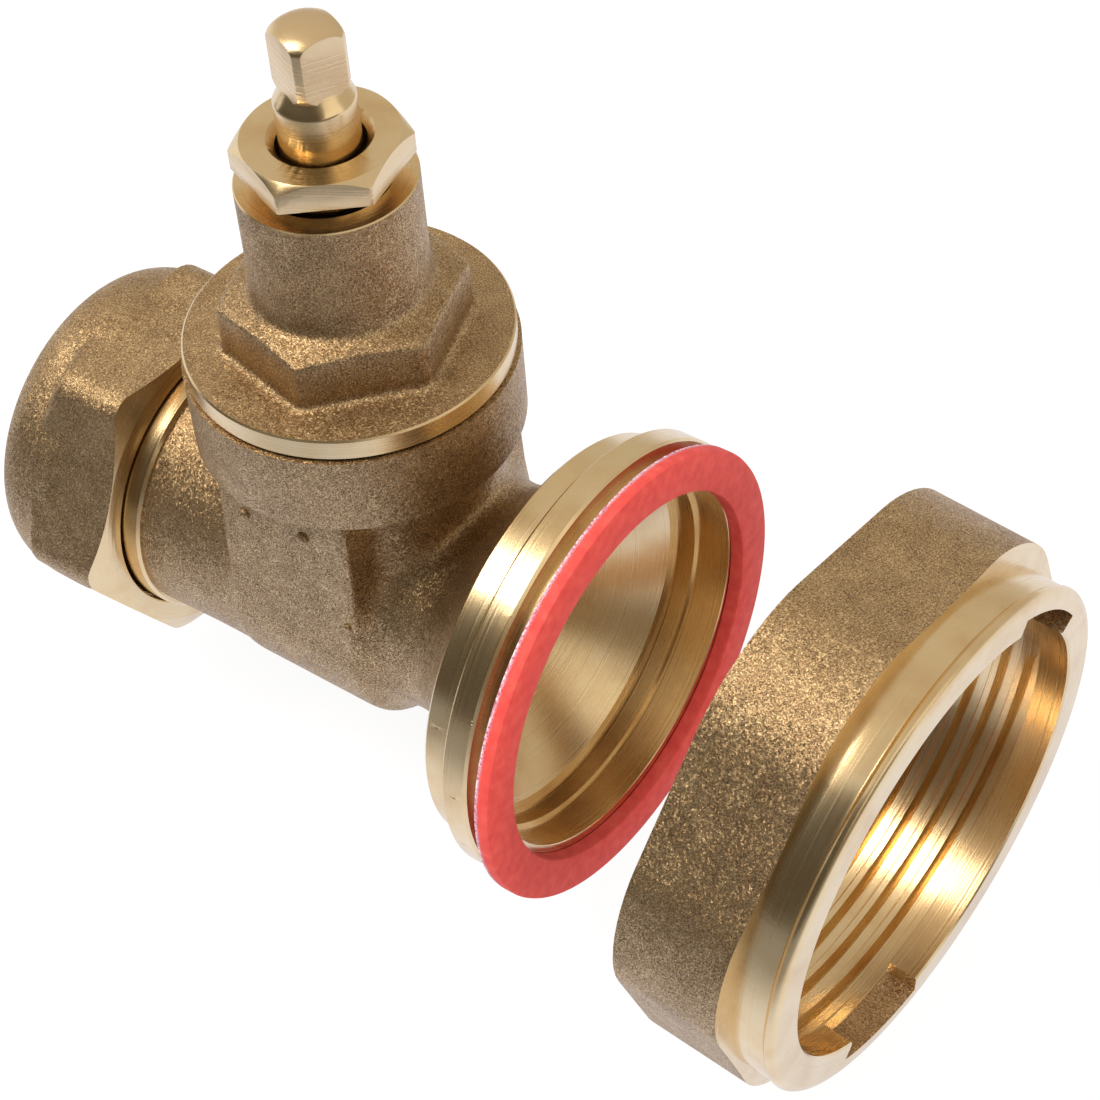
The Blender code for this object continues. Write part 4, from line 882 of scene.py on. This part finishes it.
def card(name, size, place, turn, colour, strength):
    """A plain card that only reflections see."""
    look = empty_material(name)[0]
    glow = node(look, "ShaderNodeEmission", {"Color": linear(colour), "Strength": strength})
    look.node_tree.links.new(glow.outputs[0], look.node_tree.nodes["Material Output"].inputs["Surface"])
    bpy.ops.object.select_all(action="DESELECT")
    bpy.ops.mesh.primitive_plane_add(size=1, location=place, rotation=turn)
    made = bpy.context.object
    made.name = name
    made.scale = (size[0], size[1], 1)
    made.data.materials.append(look)
    made.visible_camera = False
    made.visible_diffuse = False
    made.visible_shadow = False
    made.visible_transmission = False


card("grey_ceiling", (3.2, 1.1), (CENTRE, 0.25, 0.60), (0, 0, 0), "#FFF4E2", 0.66)
card("grey_back", (3.6, 0.66), (CENTRE, 0.80, 0.29), (math.pi / 2, 0, 0), "#FFF4E2", 0.62)
card("dark_front", (3.0, 1.0), (CENTRE, -0.60, 0.45), (math.pi / 2, 0, 0), "#FFF0DC", 0.10)
card("dark_right", (0.9, 0.7), (CENTRE + 0.74, -0.25, 0.45), (0, math.pi / 2, 0), "#FFE6C4", 0.22)
card("right_panel", (0.40, 0.50), (CENTRE + 0.52, -0.02, 0.34), (0, math.radians(-57), 0), "#FFF8EC", 1.15)


def softbox(name, place, size, watts, colour, mirrored):
    """A square lamp aimed at the valve. One that isn't mirrored lights matt surfaces only."""
    lamp = bpy.data.lights.new(name, "AREA")
    lamp.shape = "SQUARE"
    lamp.size = size
    lamp.energy = watts
    lamp.color = linear(colour)[:3]
    made = bpy.data.objects.new(name, lamp)
    bpy.context.scene.collection.objects.link(made)
    made.location = place
    made.rotation_euler = (floor.location - made.location).to_track_quat("-Z", "Y").to_euler()
    made.visible_glossy = mirrored


softbox("key_softbox", (CENTRE - 0.181, -0.211, 0.555), 0.21, 1.70, "#FFF6E8", True)
softbox("left_fill", (CENTRE - 0.40, -0.40, 0.60), 0.40, 2.0, "#FFFFFF", False)
softbox("right_fill", (CENTRE + 0.60, -0.25, 0.45), 0.50, 3.0, "#FFFFFF", False)

studio = bpy.data.worlds.new("studio_white")
studio.use_nodes = True
bpy.context.scene.world = studio
seen = node(studio, "ShaderNodeLightPath")
either = node(studio, "ShaderNodeMath", {"operation": "MAXIMUM"},
              {0: seen.outputs["Is Camera Ray"], 1: seen.outputs["Is Glossy Ray"]})
direct = node(studio, "ShaderNodeMath", {"operation": "MAXIMUM"},
              {0: either.outputs[0], 1: seen.outputs["Is Transmission Ray"]})
strength = node(studio, "ShaderNodeMapRange", {"To Min": 0.65, "To Max": 1.0}, {"Value": direct.outputs[0]})
background = studio.node_tree.nodes["Background"]
background.inputs["Color"].default_value = linear("#FFFFFF")
studio.node_tree.links.new(strength.outputs["Result"], background.inputs["Strength"])

camera_data = bpy.data.cameras.new("camera")
camera_data.lens = 88.8646
camera_data.sensor_width = 36.0
camera_data.clip_start, camera_data.clip_end = 0.01, 20
camera = bpy.data.objects.new("camera", camera_data)
bpy.context.scene.collection.objects.link(camera)
camera.location = (0.136504, -0.127818, 0.183403)
camera.rotation_euler = [math.radians(degrees) for degrees in (43.6401, 3.3794, 35.6557)]
bpy.context.scene.camera = camera
bpy.context.scene.view_settings.view_transform = "Standard"
